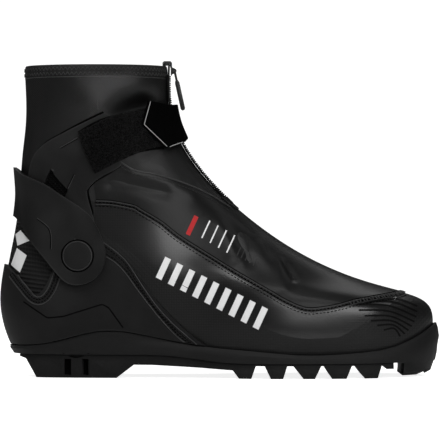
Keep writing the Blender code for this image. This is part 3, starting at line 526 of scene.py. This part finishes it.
upperShape = {
    "coverSeam": [(-84.6, 119.8), (-73.6, 119.3), (-59.3, 116.5), (-54.3, 113.7), (-40.6, 105.5),
                  (-28.2, 95.8), (-5.6, 81.5), (11.6, 71.0), (32.7, 58.9), (45.8, 51.5), (58.9, 46.7),
                  (71.9, 47.5), (83.1, 49.7), (92.0, 52.0), (105.7, 54.4), (119.5, 56.3), (129.0, 58.2)],
    "coverTop": [(-67.2, 148.0), (-57.8, 142.5), (-42.2, 139.4), (-22.6, 133.1), (-7.0, 126.1),
                 (7.2, 117.5)],
    "coverFront": [(135.0, 70.0), (110.0, 90.0), (40.0, 130.0), (12.0, 124.0)],
    "coverRear": (-88.0, 146.0),
    "coverWall": 0.7,
    "coverSink": 0.7,  # how far the skin under the cover lies below it
    "filmLow": [(-62.6, 87.4), (-47.5, 76.4), (-30.3, 66.1), (-6.2, 53.0), (14.4, 42.7), (33.6, 33.1),
                (55.6, 27.6), (81.0, 28.3)],
    "filmFront": [(96.0, 36.0), (112.0, 46.0), (122.0, 55.0)],
    "filmRear": (-88.0, 104.0),
    "filmEnd": 119,
    "filmLap": 1.5,  # how far the film runs up under the cover
    "filmWall": 0.3,
    "rimFrom": 207.5,
    "knitFrom": -100,
    "knitTop": 112,
    "creases": [  # from, to, half width, depth
        ((5.0, 106.0), (16.0, 94.0), 4.2, -0.9),
        ((16.0, 94.0), (20.6, 80.0), 4.2, -1.2),
        ((44.1, 79.0), (51.0, 67.3), 2.2, -1.3),
        ((3.0, 104.0), (8.0, 84.0), 5.0, 0.9),
        ((28.0, 88.0), (38.0, 70.0), 5.0, 0.8),
        ((41.0, 76.0), (44.0, 62.0), 4.0, 0.7),
        ((-73.6, 133.4), (-38.0, 127.5), 5.0, -1.2),
        ((-60.0, 139.0), (-20.0, 127.0), 4.5, 0.7)],
    "dents": [  # centre, half length, half height, turn, depth: soft hollows and swells of the collar
        ((-57.0, 184.5), 15.0, 7.5, 12, -9.0),
        ((-55.0, 200.0), 16.0, 6.0, 8, 2.0),
        ((-88.0, 189.0), 17.0, 12.0, -35, 2.8),
        ((-120.0, 178.0), 16.0, 22.0, 0, 1.2),
        ((-46.0, 150.0), 10.0, 4.0, 25, -1.6)],
}


def bump(x, z, centre, halfLong, halfHigh, turn):
    c, s = math.cos(math.radians(turn)), math.sin(math.radians(turn))
    dx, dz = x - centre[0], z - centre[1]
    u, v = (dx * c + dz * s) / halfLong, (dz * c - dx * s) / halfHigh
    return math.exp(-(u * u + v * v))


def creaseAt(x, z):
    total = 0.0
    for (x1, z1), (x2, z2), width, depth in upperShape["creases"]:
        ex, ez = x2 - x1, z2 - z1
        t = ((x - x1) * ex + (z - z1) * ez) / (ex * ex + ez * ez)
        near = min(1.0, max(0.0, t))
        distance = math.hypot(x - x1 - near * ex, z - z1 - near * ez)
        total += depth * math.exp(-(distance / width) ** 2)
    return total


upper = copyNode("upper", "softUpper")
subdivide(upper, 2)
for vert in upper.data.vertices:
    x, y, z = vert.co / mm
    side = max(-1.0, min(1.0, y / 14.0))
    push = sum(depth * bump(x, z, centre, a, b, turn) for centre, a, b, turn, depth in upperShape["dents"])
    vert.co.y += push * side * mm
upperTree = treeOf(upper)


def isInner(place, normal):
    start = place + normal * 0.4 * mm
    for way in (1, -1):
        if upperTree.ray_cast(start, Vector((0, way, 0)))[0] is None:
            return False
    down = upperTree.ray_cast(start, Vector((0, 0, -1)))[0]
    return down is not None


def lineAt(line, x):
    xs, zs = zip(*line)
    return float(np.interp(x, xs, zs))


innerFaces = [isInner(face.center, face.normal) for face in upper.data.polygons]
for cloth in (softshell, sideFilm, ribbedKnit, liningCloth, rimCloth):
    upper.data.materials.append(cloth)
for face, inner in zip(upper.data.polygons, innerFaces):
    x, _, z = face.center / mm
    if inner:
        face.material_index = 3
    elif z > upperShape["rimFrom"]:
        face.material_index = 4
    elif x < upperShape["knitFrom"]:
        face.material_index = 2 if z < upperShape["knitTop"] else 0
    elif z < lineAt(upperShape["coverSeam"], x) + 2:
        face.material_index = 1
print("upper smoothed")


def slab(name, outline, reach=0.09):
    # the outline in (x, z) drawn out right through the boot, as a cutter
    deselect()
    bpy.ops.mesh.primitive_circle_add(vertices=len(outline), radius=1.0, fill_type="NGON",
                                      location=(0, 0, 0))
    piece = bpy.context.object
    piece.name = name
    for vert, (x, z) in zip(piece.data.vertices, outline):
        vert.co = (x * mm, -reach, z * mm)
    bpy.ops.object.mode_set(mode="EDIT")
    bpy.ops.mesh.select_all(action="SELECT")
    bpy.ops.mesh.extrude_region_move(TRANSFORM_OT_translate={"value": (0, 2 * reach, 0)})
    bpy.ops.mesh.select_all(action="SELECT")
    bpy.ops.mesh.normals_make_consistent(inside=False)
    bpy.ops.object.mode_set(mode="OBJECT")
    return piece


def panel(name, outline, wall, shape=None, levels=1, margin=6):
    # a sheet cut from the upper's outer skin inside the outline, given its own wall
    xs, zs = zip(*outline)
    pick(upper)
    bpy.ops.object.duplicate()
    piece = bpy.context.object
    piece.name = piece.data.name = name
    if "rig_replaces" in piece:
        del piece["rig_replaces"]
    piece.data.materials.clear()
    for face, inner in zip(piece.data.polygons, innerFaces):
        x, _, z = face.center / mm
        far = (x < min(xs) - margin or x > max(xs) + margin
               or z < min(zs) - margin or z > max(zs) + margin)
        face.select = bool(inner or far)
        face.material_index = 0
    bpy.ops.object.mode_set(mode="EDIT")
    bpy.ops.mesh.select_mode(type="FACE")
    bpy.ops.object.mode_set(mode="OBJECT")
    bpy.ops.object.mode_set(mode="EDIT")
    bpy.ops.mesh.delete(type="FACE")
    bpy.ops.object.mode_set(mode="OBJECT")
    subdivide(piece, levels)
    if shape:
        normals = [v.normal.copy() for v in piece.data.vertices]
        for vert, normal in zip(piece.data.vertices, normals):
            x, _, z = vert.co / mm
            vert.co += normal * shape(x, z) * mm
    apply(piece, "SOLIDIFY", thickness=wall * mm, offset=1, use_rim=True)
    cutter = slab("cutter", outline)
    apply(piece, "BOOLEAN", operation="INTERSECT", object=cutter, solver="EXACT")
    bpy.data.objects.remove(cutter)
    return piece


seamLine = [tuple(p) for p in smoothLine(upperShape["coverSeam"], 4)]
topLine = [tuple(p) for p in smoothLine(upperShape["coverTop"], 4)]
coverOutline = seamLine + upperShape["coverFront"] + topLine[::-1] + [upperShape["coverRear"]]
cover = panel("laceCover", coverOutline, upperShape["coverWall"], creaseAt)
finish(cover, leatherette)
filmLow = [tuple(p) for p in smoothLine(upperShape["filmLow"], 4)]
filmTop = [(x, z + upperShape["filmLap"]) for x, z in seamLine if x < upperShape["filmEnd"]]
filmOutline = filmLow + upperShape["filmFront"] + filmTop[::-1] + [upperShape["filmRear"]]
film = panel("sideGloss", filmOutline, upperShape["filmWall"], levels=0)
finish(film, glossFilm)
for vert, normal in [(v, v.normal.copy()) for v in upper.data.vertices]:
    x, _, z = vert.co / mm
    covered = lineAt(upperShape["coverSeam"], x) < z and x > upperShape["coverRear"][0]
    if covered and abs(creaseAt(x, z)) > 0.05:
        vert.co += normal * (1.2 * min(0.0, creaseAt(x, z)) - upperShape["coverSink"]) * mm
finish(upper, angle=60)
print("panels cut")

skinTree = treeOf(cover, film, upper)


# seams of the upper, on both sides

def bothSides(tree, line, lift=0.0):
    return [onSide(tree, line, side, lift) for side in (-1, 1)]


def places(paths):
    return [[p for p, _ in path] for path in paths]


def rowsBeside(tree, line, rows):
    # runs beside the line on both sides of the boot, each row an (offset, lift)
    return [path for offset, lift in rows for path in bothSides(tree, offsetLine(line, offset), lift)]


def bandsBeside(lines, low, high):
    # strips for pressed() between two offsets of each line, on both sides of the boot
    return [(side, offsetLine(line, low), offsetLine(line, high)) for side in (-1, 1) for line in lines]


seams = {  # rows are (offset from the seam line, lift off the skin)
    "edges": [(1.2, 0.1), (-1.0, 0.1)], "valleys": (1.75, -0.6), "valleyWide": 0.5,
    "stitchRows": [(-2.3, 0.05), (0.2, 0.1)], "whipRow": [(0.2, 0.35)], "whipFrom": 88,
    "topEdge": [(-0.6, 0.25)], "topStitches": [(-3.0, 0.12)],
}
seamFine = smoothLine(upperShape["coverSeam"], 1.0)
# painted highlight: light beads on the two ridges of the cover's seam
finish(bead("coverEdge", places(rowsBeside(skinTree, seamFine, seams["edges"])), 0.3), pipingAndHighlight)
# painted shade: dark strips in the valleys beside the seam
valleys = [(side, offsetLine(seamFine, low), offsetLine(seamFine, low + seams["valleyWide"]))
           for side in (-1, 1) for low in seams["valleys"]]
finish(pressed("seamValley", valleys, skinTree, 0.12, across=1), grooveShade)
finish(stitches("coverStitches", rowsBeside(skinTree, seamFine, seams["stitchRows"]), length=1.7,
                radius=0.42), darkThread)
toeRun = [p for p in seamFine if p[0] > seams["whipFrom"]]
finish(stitches("toeWhip", rowsBeside(skinTree, toeRun, seams["whipRow"]), length=3.4, radius=0.6,
                zigzag=2.5), rimThread)
topFine = smoothLine(upperShape["coverTop"], 1.0)
# painted highlight: a light bead along the cover's rolled top edge
finish(bead("coverTopEdge", places(rowsBeside(skinTree, topFine, seams["topEdge"])), 0.55), pipingAndHighlight)
finish(stitches("coverTopStitches", rowsBeside(skinTree, topFine, seams["topStitches"])), thread)


# moulded pieces that keep the CAD shape, with eased edges

def moulded(node, name, material, width=0.5, levels=1, dissolve=False, body="boot"):
    piece = copyNode(node, name, dissolve)
    apply(piece, "BEVEL", width=width * mm, segments=2, limit_method="ANGLE",
          angle_limit=math.radians(30), use_clamp_overlap=True, harden_normals=False)
    subdivide(piece, levels)
    return finish(piece, material, body)


counter = moulded("heel_counter", "heelCounter", counterPlastic, 0.5, 1)
band = moulded("cuff_band", "cuffBand", cuffPlastic, 0.8, 1)
armOuter = moulded("cuff_arm_outer", "cuffArmOuter", cuffPlastic, 0.8, 1)
armInner = moulded("cuff_arm_inner", "cuffArmInner", cuffPlastic, 0.8, 1)
rivetOuter = moulded("rivet_outer", "rivetOuter", cuffPlastic, 0.5, 1)
rivetInner = moulded("rivet_inner", "rivetInner", cuffPlastic, 0.5, 1)
sole = moulded("sole_unit", "soleUnit", soleRubber, 0.5, 0)
tread = moulded("outsole", "treadSole", treadRubber, 0.6, 0, dissolve=True)
moulded("binding_bar", "bindingBar", steel, 0.3, 0)
moulded("insole", "footBed", felt, 0.6, 1)
loopStrap = moulded("strap_loop", "loopStrap", pile, 0.4, 1)
hookStrap = moulded("strap_hook", "hookStrap", tabGloss, 0.4, 1)
tape = moulded("zip", "zipTape", tapeCloth, 0.2, 1)
moulded("zip_slider", "zipSlider", blackMetal, 0.3, 1)
pull = moulded("zip_pull", "zipPull", blackMetal, 0.25, 0, body="pull")
pull.data.materials.append(pullHighlight)
# painted highlight: the pull's faces turned to the toe and upward take a light grey in place of the black
# metal
for face in pull.data.polygons:
    face.material_index = 1 if face.normal.x > 0.5 or face.normal.z > 0.7 else 0
# the dark sheet in the cuff arm's window is partly mesh and partly painted shadow inside the hole
window = {"rear": [(-122.0, 129.0), (-115.8, 146.0)], "front": [(-106.6, 118.0), (-101.0, 129.5)]}
net = [(side, window["rear"], window["front"]) for side in (-1, 1)]
finish(pressed("windowNetShade", net, treeOf(upper), 0.15, step=1.0, across=10), netClothAndShade)
cuffLines = {
    "rear": [(-112.8, 80.0), (-116.3, 95.0), (-122.8, 115.0), (-128.8, 128.0), (-130.0, 137.0),
             (-127.3, 150.7), (-119.7, 160.0), (-108.3, 166.6), (-94.1, 174.1), (-79.3, 181.2)],
    "front": [(-82.8, 95.0), (-87.3, 112.0), (-89.3, 120.0), (-90.7, 128.6), (-85.5, 134.8),
              (-76.8, 140.0), (-68.0, 145.5)],
    "strapLow": [(-86.0, 141.1), (-68.5, 150.1), (-54.4, 155.9), (-38.8, 158.3)],
    "strapHigh": [(-96.6, 167.5), (-79.5, 176.5), (-51.8, 184.2)],
    "band": [[(-125.2, 108.8), (-116.4, 101.1), (-115.3, 88.1)]],
    "arm": [[(-109.0, 156.8), (-96.7, 163.6)], [(-99.7, 139.1), (-104.2, 129.7)]],
}
# painted shade: dark strips along the creases of the band and arms, with light beads beside them as painted
# highlight
for name, key, tree in (("bandStep", "band", treeOf(band)),
                        ("armStep", "arm", treeOf(armOuter, armInner))):
    lines = [smoothLine(line, 1.0) for line in cuffLines[key]]
    finish(pressed(name, bandsBeside(lines, -0.3, 0.3), tree, 0.1, across=1), grooveShade)
    edges = [path for line in lines for path in rowsBeside(tree, line, [(0.6, 0.0)])]
    finish(bead(name + "Edge", places(edges), 0.3), pipingAndHighlight)
for name, borders, tree in (
        ("armShade", (("rear", -0.6, 1.1), ("front", 0.6, -1.3)), treeOf(upper, cover)),
        ("strapShade", (("strapLow", 0.6, -1.6), ("strapHigh", -0.6, 0.9)),
         treeOf(upper, cover, armOuter, armInner))):
    shades = []
    for key, near, far in borders:
        shades += bandsBeside([smoothLine(cuffLines[key], 1.0)], near, far)
    finish(pressed(name, shades, tree, 0.1, across=2), grooveShade)
print("moulded pieces eased")


# collar: overlocked rim, zip teeth

collar = {"centre": (-83.5, 0.0), "top": 216.5, "low": 205, "outside": 150, "through": 120,
          "rows": (2.8, 6.2), "zig": 1.5, "fold": 8.4, "front": -50, "zipHalf": 6.6}


def roundCollar(drop, lift):
    # a path round the collar, drop millimetres below its rim
    path = []
    for i in range(361):
        turn = math.radians(i)
        away = Vector((math.cos(turn), math.sin(turn), 0))
        start = (Vector((*collar["centre"], 0)) + away * collar["outside"]) * mm
        rim = next((z for z in np.arange(collar["top"], collar["low"], -0.25)
                    if upperTree.ray_cast(start + Vector((0, 0, z * mm)), -away,
                                          collar["through"] * mm)[0]), None)
        if rim is None:
            continue
        place, normal, _, _ = upperTree.ray_cast(start + Vector((0, 0, (rim - drop) * mm)), -away)
        if place is None:
            continue
        path.append((place + normal * lift * mm, normal))
    return path


def gapAtZip(path):
    # the rows stop at the zip's tape
    front = [i for i, (place, _) in enumerate(path)
             if place.x > collar["front"] * mm and abs(place.y) < collar["zipHalf"] * mm]
    last = max(i for i in front if i < len(path) / 2) if front else 0
    first = min((i for i in front if i > len(path) / 2), default=len(path))
    return path[last + 1:first]


for number, drop in enumerate(collar["rows"]):
    rimRow = gapAtZip(roundCollar(drop, 0.3))
    finish(stitches(f"rimZigzag{number + 1}", [rimRow], length=2.7, pitch=1.55, radius=0.3,
                    zigzag=collar["zig"]), rimThread)
# painted highlight: a light bead along the collar's fold
finish(bead("rimFold", places([gapAtZip(roundCollar(collar["fold"], 0.0))]), 0.3), pipingAndHighlight)

zipParts = {"low": 122.5, "high": 208.5, "middle": 0.35, "tooth": (0.95, 2.3, 1.1), "toothEase": 0.28,
            "toothLift": 0.35, "pitch": 1.5, "shift": 0.75, "tapeRows": (-4.6, 4.6), "tapeSink": 0.25,
            "footHalf": 8.5, "footLow": 115.5, "footHigh": 123.5, "footWall": 0.7}
tapeTree = treeOf(tape)
zipPath = []
for z in np.arange(zipParts["low"], zipParts["high"], 0.75):
    place, normal, _, _ = tapeTree.ray_cast(Vector((0.1, zipParts["middle"] * mm, z * mm)),
                                            Vector((-1, 0, 0)))
    if place is not None:
        zipPath.append((place + normal * zipParts["toothLift"] * mm, normal))
deselect()
bpy.ops.mesh.primitive_cube_add(size=1.0)
tooth = bpy.context.object
tooth.scale = [size * mm for size in zipParts["tooth"]]
bpy.ops.object.transform_apply(location=True, rotation=True, scale=True)
bpy.ops.object.mode_set(mode="EDIT")
bpy.ops.mesh.bevel(offset=zipParts["toothEase"] * mm, segments=1, affect="EDGES")
bpy.ops.object.mode_set(mode="OBJECT")
teeth = []
for i, (centre, along, normal) in enumerate(alongPath(zipPath, zipParts["pitch"])):
    shift = normal.cross(along).normalized() * (1 if i % 2 else -1) * zipParts["shift"] * mm
    teeth.append((centre + shift, along, normal, 1.0))
finish(spread("zipTeeth", tooth, teeth), toothPlastic)
for number, across in enumerate(zipParts["tapeRows"]):
    row = [(p + (n.cross(Vector((0, 0, 1))).normalized() * across - n * zipParts["tapeSink"]) * mm, n)
           for p, n in zipPath]
    finish(stitches(f"tapeStitches{number + 1}", [row], length=1.8, pitch=2.5, radius=0.2), thread)


def frontPatch(name, ys, zs, tree, thick, lift):
    # a small sheet laid on the front of the boot, seen from the toe
    points, faces = [], []
    for z in zs:
        for y in ys:
            place, normal, _, _ = tree.ray_cast(Vector((farOut, y * mm, z * mm)), Vector((-1, 0, 0)))
            points.append(place + normal * lift * mm)
    wide = len(ys)
    for i in range(len(zs) - 1):
        for k in range(wide - 1):
            faces.append((i * wide + k, i * wide + k + 1, (i + 1) * wide + k + 1, (i + 1) * wide + k))
    piece = meshPiece(name, points, faces)
    apply(piece, "SOLIDIFY", thickness=thick * mm, offset=1)
    apply(piece, "BEVEL", width=0.15 * mm, segments=1, limit_method="ANGLE", angle_limit=math.radians(40))
    return piece


footAcross = np.linspace(-zipParts["footHalf"], zipParts["footHalf"], 13)
footUp = np.linspace(zipParts["footLow"], zipParts["footHigh"], 8)
zipFoot = frontPatch("zipFoot", footAcross, footUp, treeOf(cover, tape, upper), zipParts["footWall"], 0.15)
finish(zipFoot, leatherette)
print("collar sewn")


# heel counter: piping, mesh border, notch seam, moulded line in painted shade

heel = {
    "front": [(-79.9, 94.0), (-71.5, 88.1), (-64.6, 82.2), (-58.7, 74.3), (-51.8, 63.4), (-41.9, 49.6),
              (-32.0, 38.7), (-22.1, 29.9), (-12.8, 21.9)],
    "behind": [(-78.0, 83.2), (-71.5, 79.2), (-64.6, 72.3), (-56.7, 61.5), (-46.9, 48.6), (-37.0, 36.8),
               (-27.1, 26.9), (-19.2, 22.0)],
    "notch": [(-140.2, 73.0), (-133.4, 65.1), (-124.8, 56.5), (-118.9, 60.3), (-114.1, 71.9),
              (-110.2, 84.0)],
    "moulded": [(-134.1, 52.2), (-117.6, 41.2), (-106.6, 42.3), (-80.2, 50.6), (-75.8, 48.4),
                (-65.9, 34.6)],
}
counterTree = treeOf(counter)
frontLine = smoothLine(heel["front"], 1.0)
behindLine = smoothLine(heel["behind"], 1.0)
notchLine = smoothLine(heel["notch"], 1.0)
finish(bead("counterPiping", places(rowsBeside(counterTree, frontLine, [(-0.9, 0.15)])
                                    + bothSides(counterTree, behindLine, 0.1)), 0.32), pipingAndHighlight)
border = [(side, offsetLine(frontLine, -1.6), behindLine) for side in (-1, 1)]
finish(pressed("counterBorder", border, counterTree, 0.12), borderMesh)
counterRows = (rowsBeside(counterTree, frontLine, [(-2.6, 0.15)])
               + rowsBeside(counterTree, behindLine, [(1.4, 0.15)]))
finish(stitches("counterStitches", counterRows, length=1.5, pitch=2.3, radius=0.4), darkThread)
notchEdges = rowsBeside(counterTree, notchLine, [(-0.9, 0.15), (-6.0, 0.05)])
finish(bead("notchPiping", places(notchEdges), 0.42), pipingAndHighlight)
finish(pressed("notchBorder", bandsBeside([notchLine], -1.4, -5.8), counterTree, 0.12), borderMesh)
notchRows = rowsBeside(counterTree, notchLine, [(-4.6, 0.15), (-2.6, 0.15)])
finish(stitches("notchStitches", notchRows, length=1.5, pitch=2.1, radius=0.42), darkThread)
# painted shade: a dark strip along the counter's moulded line
mouldedLine = evenly(heel["moulded"], 60)
finish(pressed("counterLine", bandsBeside([mouldedLine], -0.4, 0.4), counterTree, 0.14, across=1),
       grooveShade)


# painted shade in the rivet seats and heel slots, painted highlight on the rivet rims

rivets = {"centre": (-96.9, 83.6), "seat": 11.1, "rim": 9.7}
rivetTree = treeOf(band, rivetOuter, rivetInner)


def ringAt(radius):
    x, z = rivets["centre"]
    turns = [math.radians(a) for a in range(0, 361, 6)]
    circle = [(x + radius * math.cos(a), z + radius * math.sin(a)) for a in turns]
    return places(bothSides(rivetTree, circle))


# painted shade: a dark ring in the groove round each rivet; painted highlight: a light ring on its rim
finish(bead("rivetSeat", ringAt(rivets["seat"]), 0.75), grooveShade)
finish(bead("rivetRim", ringAt(rivets["rim"]), 0.3), pipingAndHighlight)
slots = {"x": [(-106.3, -101.9), (-93.4, -89.4)], "z": (2.2, 12.6),
         "lens": [(-107.5, 17.0), (-98.5, 14.2), (-89.0, 16.8)]}
lens = smoothLine(slots["lens"], 1.0)
# painted shade in the heel block's slots and under its lens
dark = [(side, [(rear, z) for z in slots["z"]], [(front, z) for z in slots["z"]])
        for side in (-1, 1) for rear, front in slots["x"]]
dark += bandsBeside([lens], -0.45, 0.45)
finish(pressed("heelSlotShade", dark, treeOf(tread, sole), 0.12, across=2), grooveShade)
print("heel counter trimmed")


# strap: pile loops, and a painted highlight along the tab's edge

strap = {"loops": 5200, "seed": 7, "loopRadius": 0.62, "loopWire": 0.17, "loopFoot": -0.2,
         "clear": 6, "lean": 0.5, "scales": (0.6, 1.15),
         "tabEdge": [(-47.4, 189.0), (-51.6, 173.2), (-35.5, 157.8), (-23.2, 162.5)]}
random.seed(strap["seed"])
everything = treeOf(loopStrap, hookStrap, armOuter, band)
deselect()
bpy.ops.mesh.primitive_torus_add(major_segments=8, minor_segments=3,
                                 major_radius=strap["loopRadius"] * mm,
                                 minor_radius=strap["loopWire"] * mm, rotation=(math.radians(90), 0, 0))
bpy.ops.object.transform_apply(location=True, rotation=True, scale=True)
loop = bpy.context.object
bpy.ops.object.mode_set(mode="EDIT")
bpy.ops.mesh.select_all(action="SELECT")
bpy.ops.mesh.bisect(plane_co=(0, 0, strap["loopFoot"] * mm), plane_no=(0, 0, 1), clear_inner=True)
bpy.ops.object.mode_set(mode="OBJECT")
outward, areas = [], []
for face in loopStrap.data.polygons:
    start = face.center + face.normal * 0.3 * mm
    if everything.ray_cast(start, face.normal, strap["clear"] * mm)[0] is None and face.normal.x > -0.5:
        outward.append(face)
        areas.append(face.area)
tufts = []
for face in random.choices(outward, areas, k=strap["loops"]):
    a, b, c, *rest = (loopStrap.data.vertices[i].co for i in face.vertices)
    u, v = random.random(), random.random()
    if rest:
        place = (a * (1 - u) + b * u) * (1 - v) + (rest[0] * (1 - u) + c * u) * v
    else:
        place = a + (b - a) * u * (1 - v) + (c - a) * v * (1 - u)
    along = Vector([random.gauss(0, 1) for _ in range(3)]).cross(face.normal).normalized()
    lean = (face.normal + along.cross(face.normal) * random.gauss(0, strap["lean"])).normalized()
    tufts.append((place + face.normal * 0.1 * mm, along, lean, random.uniform(*strap["scales"])))
finish(spread("pileLoops", loop, tufts), pileLoop)

# painted highlight: a light bead along the tab's edge
tabTree = treeOf(hookStrap)
tabEdges = [smoothLine(strap["tabEdge"][:2], 1.0), evenly(strap["tabEdge"][1:3], 24),
            evenly(strap["tabEdge"][2:], 12)]
finish(bead("tabEdgeHighlightBead", places([onSide(tabTree, line, -1) for line in tabEdges]), 0.25), tabEdgeHighlight)
print("strap napped")


# prints: slanted bars, heel blocks, toe stripes

prints = {
    "lean": (0.42, 0.91),
    "bars": {"first": (-38.5, 75.0), "last": (27.5, 41.5), "count": 9, "long": 15.5, "wide": 4.4},
    "red": {"first": (-19.0, 104.2), "last": (-19.0, 104.2), "count": 1, "long": 14.0, "wide": 3.2},
    "thin": {"first": (-9.6, 101.6), "last": (7.4, 91.6), "count": 4, "long": 13.0, "wide": 1.0},
    "faint": {"first": (13.0, 86.5), "last": (24.0, 79.5), "count": 5, "long": 6.0, "wide": 0.8},
    "heelBlocks": [[(-137.3, 100.9), (-141.3, 98.1), (-139.4, 90.3), (-130.7, 93.7)],
                   [(-139.8, 88.7), (-132.5, 83.7), (-137.3, 71.9), (-144.1, 77.1)]],
    "toeStripes": 8,
    "toeFrom": [(103.9, 52.6), (98.0, 52.0), (92.0, 50.6), (95.0, 46.0), (100.0, 41.5),
                (106.0, 37.0), (112.0, 33.0)],
    "toeTo": [(136.0, 48.6), (135.8, 45.0), (135.0, 41.2), (133.2, 37.4), (130.6, 33.6),
              (127.4, 30.4), (123.4, 28.4)],
    "toeBow": (1.5, 3.2),
}


def slantedBars(first, last, count, long, wide):
    first, last, lean = np.array(first), np.array(last), np.array(prints["lean"])
    slope = np.array(prints["bars"]["last"]) - np.array(prints["bars"]["first"])
    slope = slope / np.linalg.norm(slope)
    bars = []
    for t in np.linspace(0, 1, count):
        centre = first * (1 - t) + last * t
        ends = centre - lean * long / 2, centre + lean * long / 2
        bars.append(([e - slope * wide / 2 for e in ends], [e + slope * wide / 2 for e in ends]))
    return bars


for name, key, ink in (("whiteBars", "bars", whitePrint), ("redBar", "red", redPrint),
                       ("thinBars", "thin", whitePrint), ("faintBars", "faint", greyPrint)):
    strips = [(side, *bar) for side in (-1, 1) for bar in slantedBars(**prints[key])]
    finish(pressed(name, strips, skinTree, 0.16), ink)
blocks = [(side, (b[0], b[3]), (b[1], b[2])) for side in (-1, 1) for b in prints["heelBlocks"]]
finish(pressed("heelBlocks", blocks, treeOf(upper), 0.2, step=1.0, across=6), whitePrint)
stripes = []
for start, stop in zip(*(evenly(prints[key], prints["toeStripes"]) for key in ("toeFrom", "toeTo"))):
    middle = (start + stop) / 2 + np.array(prints["toeBow"])
    stripes += bandsBeside([smoothLine([start, middle, stop], 1.5)], -0.6, 0.6)
finish(pressed("toeStripes", stripes, skinTree, 0.12, across=1), stripePrint)
print("prints pressed")


# light, floor and camera

look = {"reach": 2.0, "height": 0.108, "across": 0.0001, "lens": 235.6, "sensor": 36.0,
        "floorGlow": 0.85, "ambient": 0.025, "backdrop": 1.1}
camera = bpy.data.objects.new("camera", bpy.data.cameras.new("camera"))
bpy.context.scene.collection.objects.link(camera)
camera.location = (look["across"], -look["reach"], look["height"])
camera.rotation_euler = (math.radians(90), 0, 0)
camera.data.lens = look["lens"]
camera.data.sensor_width = look["sensor"]
camera.data.clip_start = 0.05
bpy.context.scene.camera = camera

deselect()
bpy.ops.mesh.primitive_circle_add(vertices=96, radius=1.5, fill_type="NGON", location=(0, 0, -0.0002))
floor = bpy.context.object
floor.name = "floor"
pale = bpy.data.materials.new("paleFloor")
pale.use_nodes = True
paleSurface = pale.node_tree.nodes["Principled BSDF"]
paleNoise = node(pale.node_tree, "ShaderNodeTexNoise", in_Scale=3.0)
paleTone = node(pale.node_tree, "ShaderNodeMapRange", [(paleNoise.outputs["Fac"], "Value")],
                in_3=0.90, in_4=0.92)
pale.node_tree.links.new(paleTone.outputs[0], paleSurface.inputs["Base Color"])
paleSurface.inputs["Roughness"].default_value = 0.9
paleSurface.inputs["Emission Color"].default_value = (1, 1, 1, 1)
seenFloor = node(pale.node_tree, "ShaderNodeLightPath").outputs["Is Camera Ray"]
pale.node_tree.links.new(maths(pale.node_tree, "MULTIPLY", seenFloor, look["floorGlow"]),
                         paleSurface.inputs["Emission Strength"])
floor.data.materials.append(pale)


def softbox(name, place, size, power, aim, spread):
    light = bpy.data.objects.new(name, bpy.data.lights.new(name, "AREA"))
    bpy.context.scene.collection.objects.link(light)
    light.data.shape = "RECTANGLE"
    light.data.size, light.data.size_y = size
    light.data.energy = power
    light.data.spread = math.radians(spread)
    light.location = place
    light.rotation_euler = (Vector(aim) - Vector(place)).to_track_quat("-Z", "Y").to_euler()


lights = {  # place, size, power in watts, what it is aimed at, spread in degrees
    "topBox": ((-0.4, -0.3, 2.0), (2.2, 2.0), 9, (0, 0, 0), 180),
    "bandBox": ((-0.1, -1.25, 1.45), (1.8, 0.45), 13, (0, 0, 0.1), 180),
    "filmBox": ((0.62, -1.42, 0.6), (1.2, 0.5), 9.5, (0, 0, 0.05), 180),
    "collarBox": ((-0.16, -2.2, 0.36), (0.1, 0.08), 0.0055, (-0.09, 0, 0.206), 3.4),
    "backBox": ((0.1, 1.3, 1.7), (1.6, 1.0), 9, (0, 0, 0.1), 180),
    "toeBox": ((1.5, 0.0, 1.7), (0.9, 0.9), 2.6, (0, 0, 0.1), 180),
    "heelBox": ((-1.6, 0.2, 1.5), (0.9, 0.9), 4, (0, 0, 0.1), 180),
}
for name, values in lights.items():
    softbox(name, *values)

world = bpy.data.worlds.new("studio")
bpy.context.scene.world = world
world.use_nodes = True
air = world.node_tree
backdrop = air.nodes["Background"]
backdrop.inputs["Color"].default_value = (1, 1, 1, 1)
seen = node(air, "ShaderNodeLightPath").outputs["Is Camera Ray"]
level = node(air, "ShaderNodeMapRange", [(seen, "Value")], in_3=look["ambient"], in_4=look["backdrop"])
air.links.new(level.outputs[0], backdrop.inputs["Strength"])
bpy.context.scene.view_settings.view_transform = "Standard"

print("boot finished")
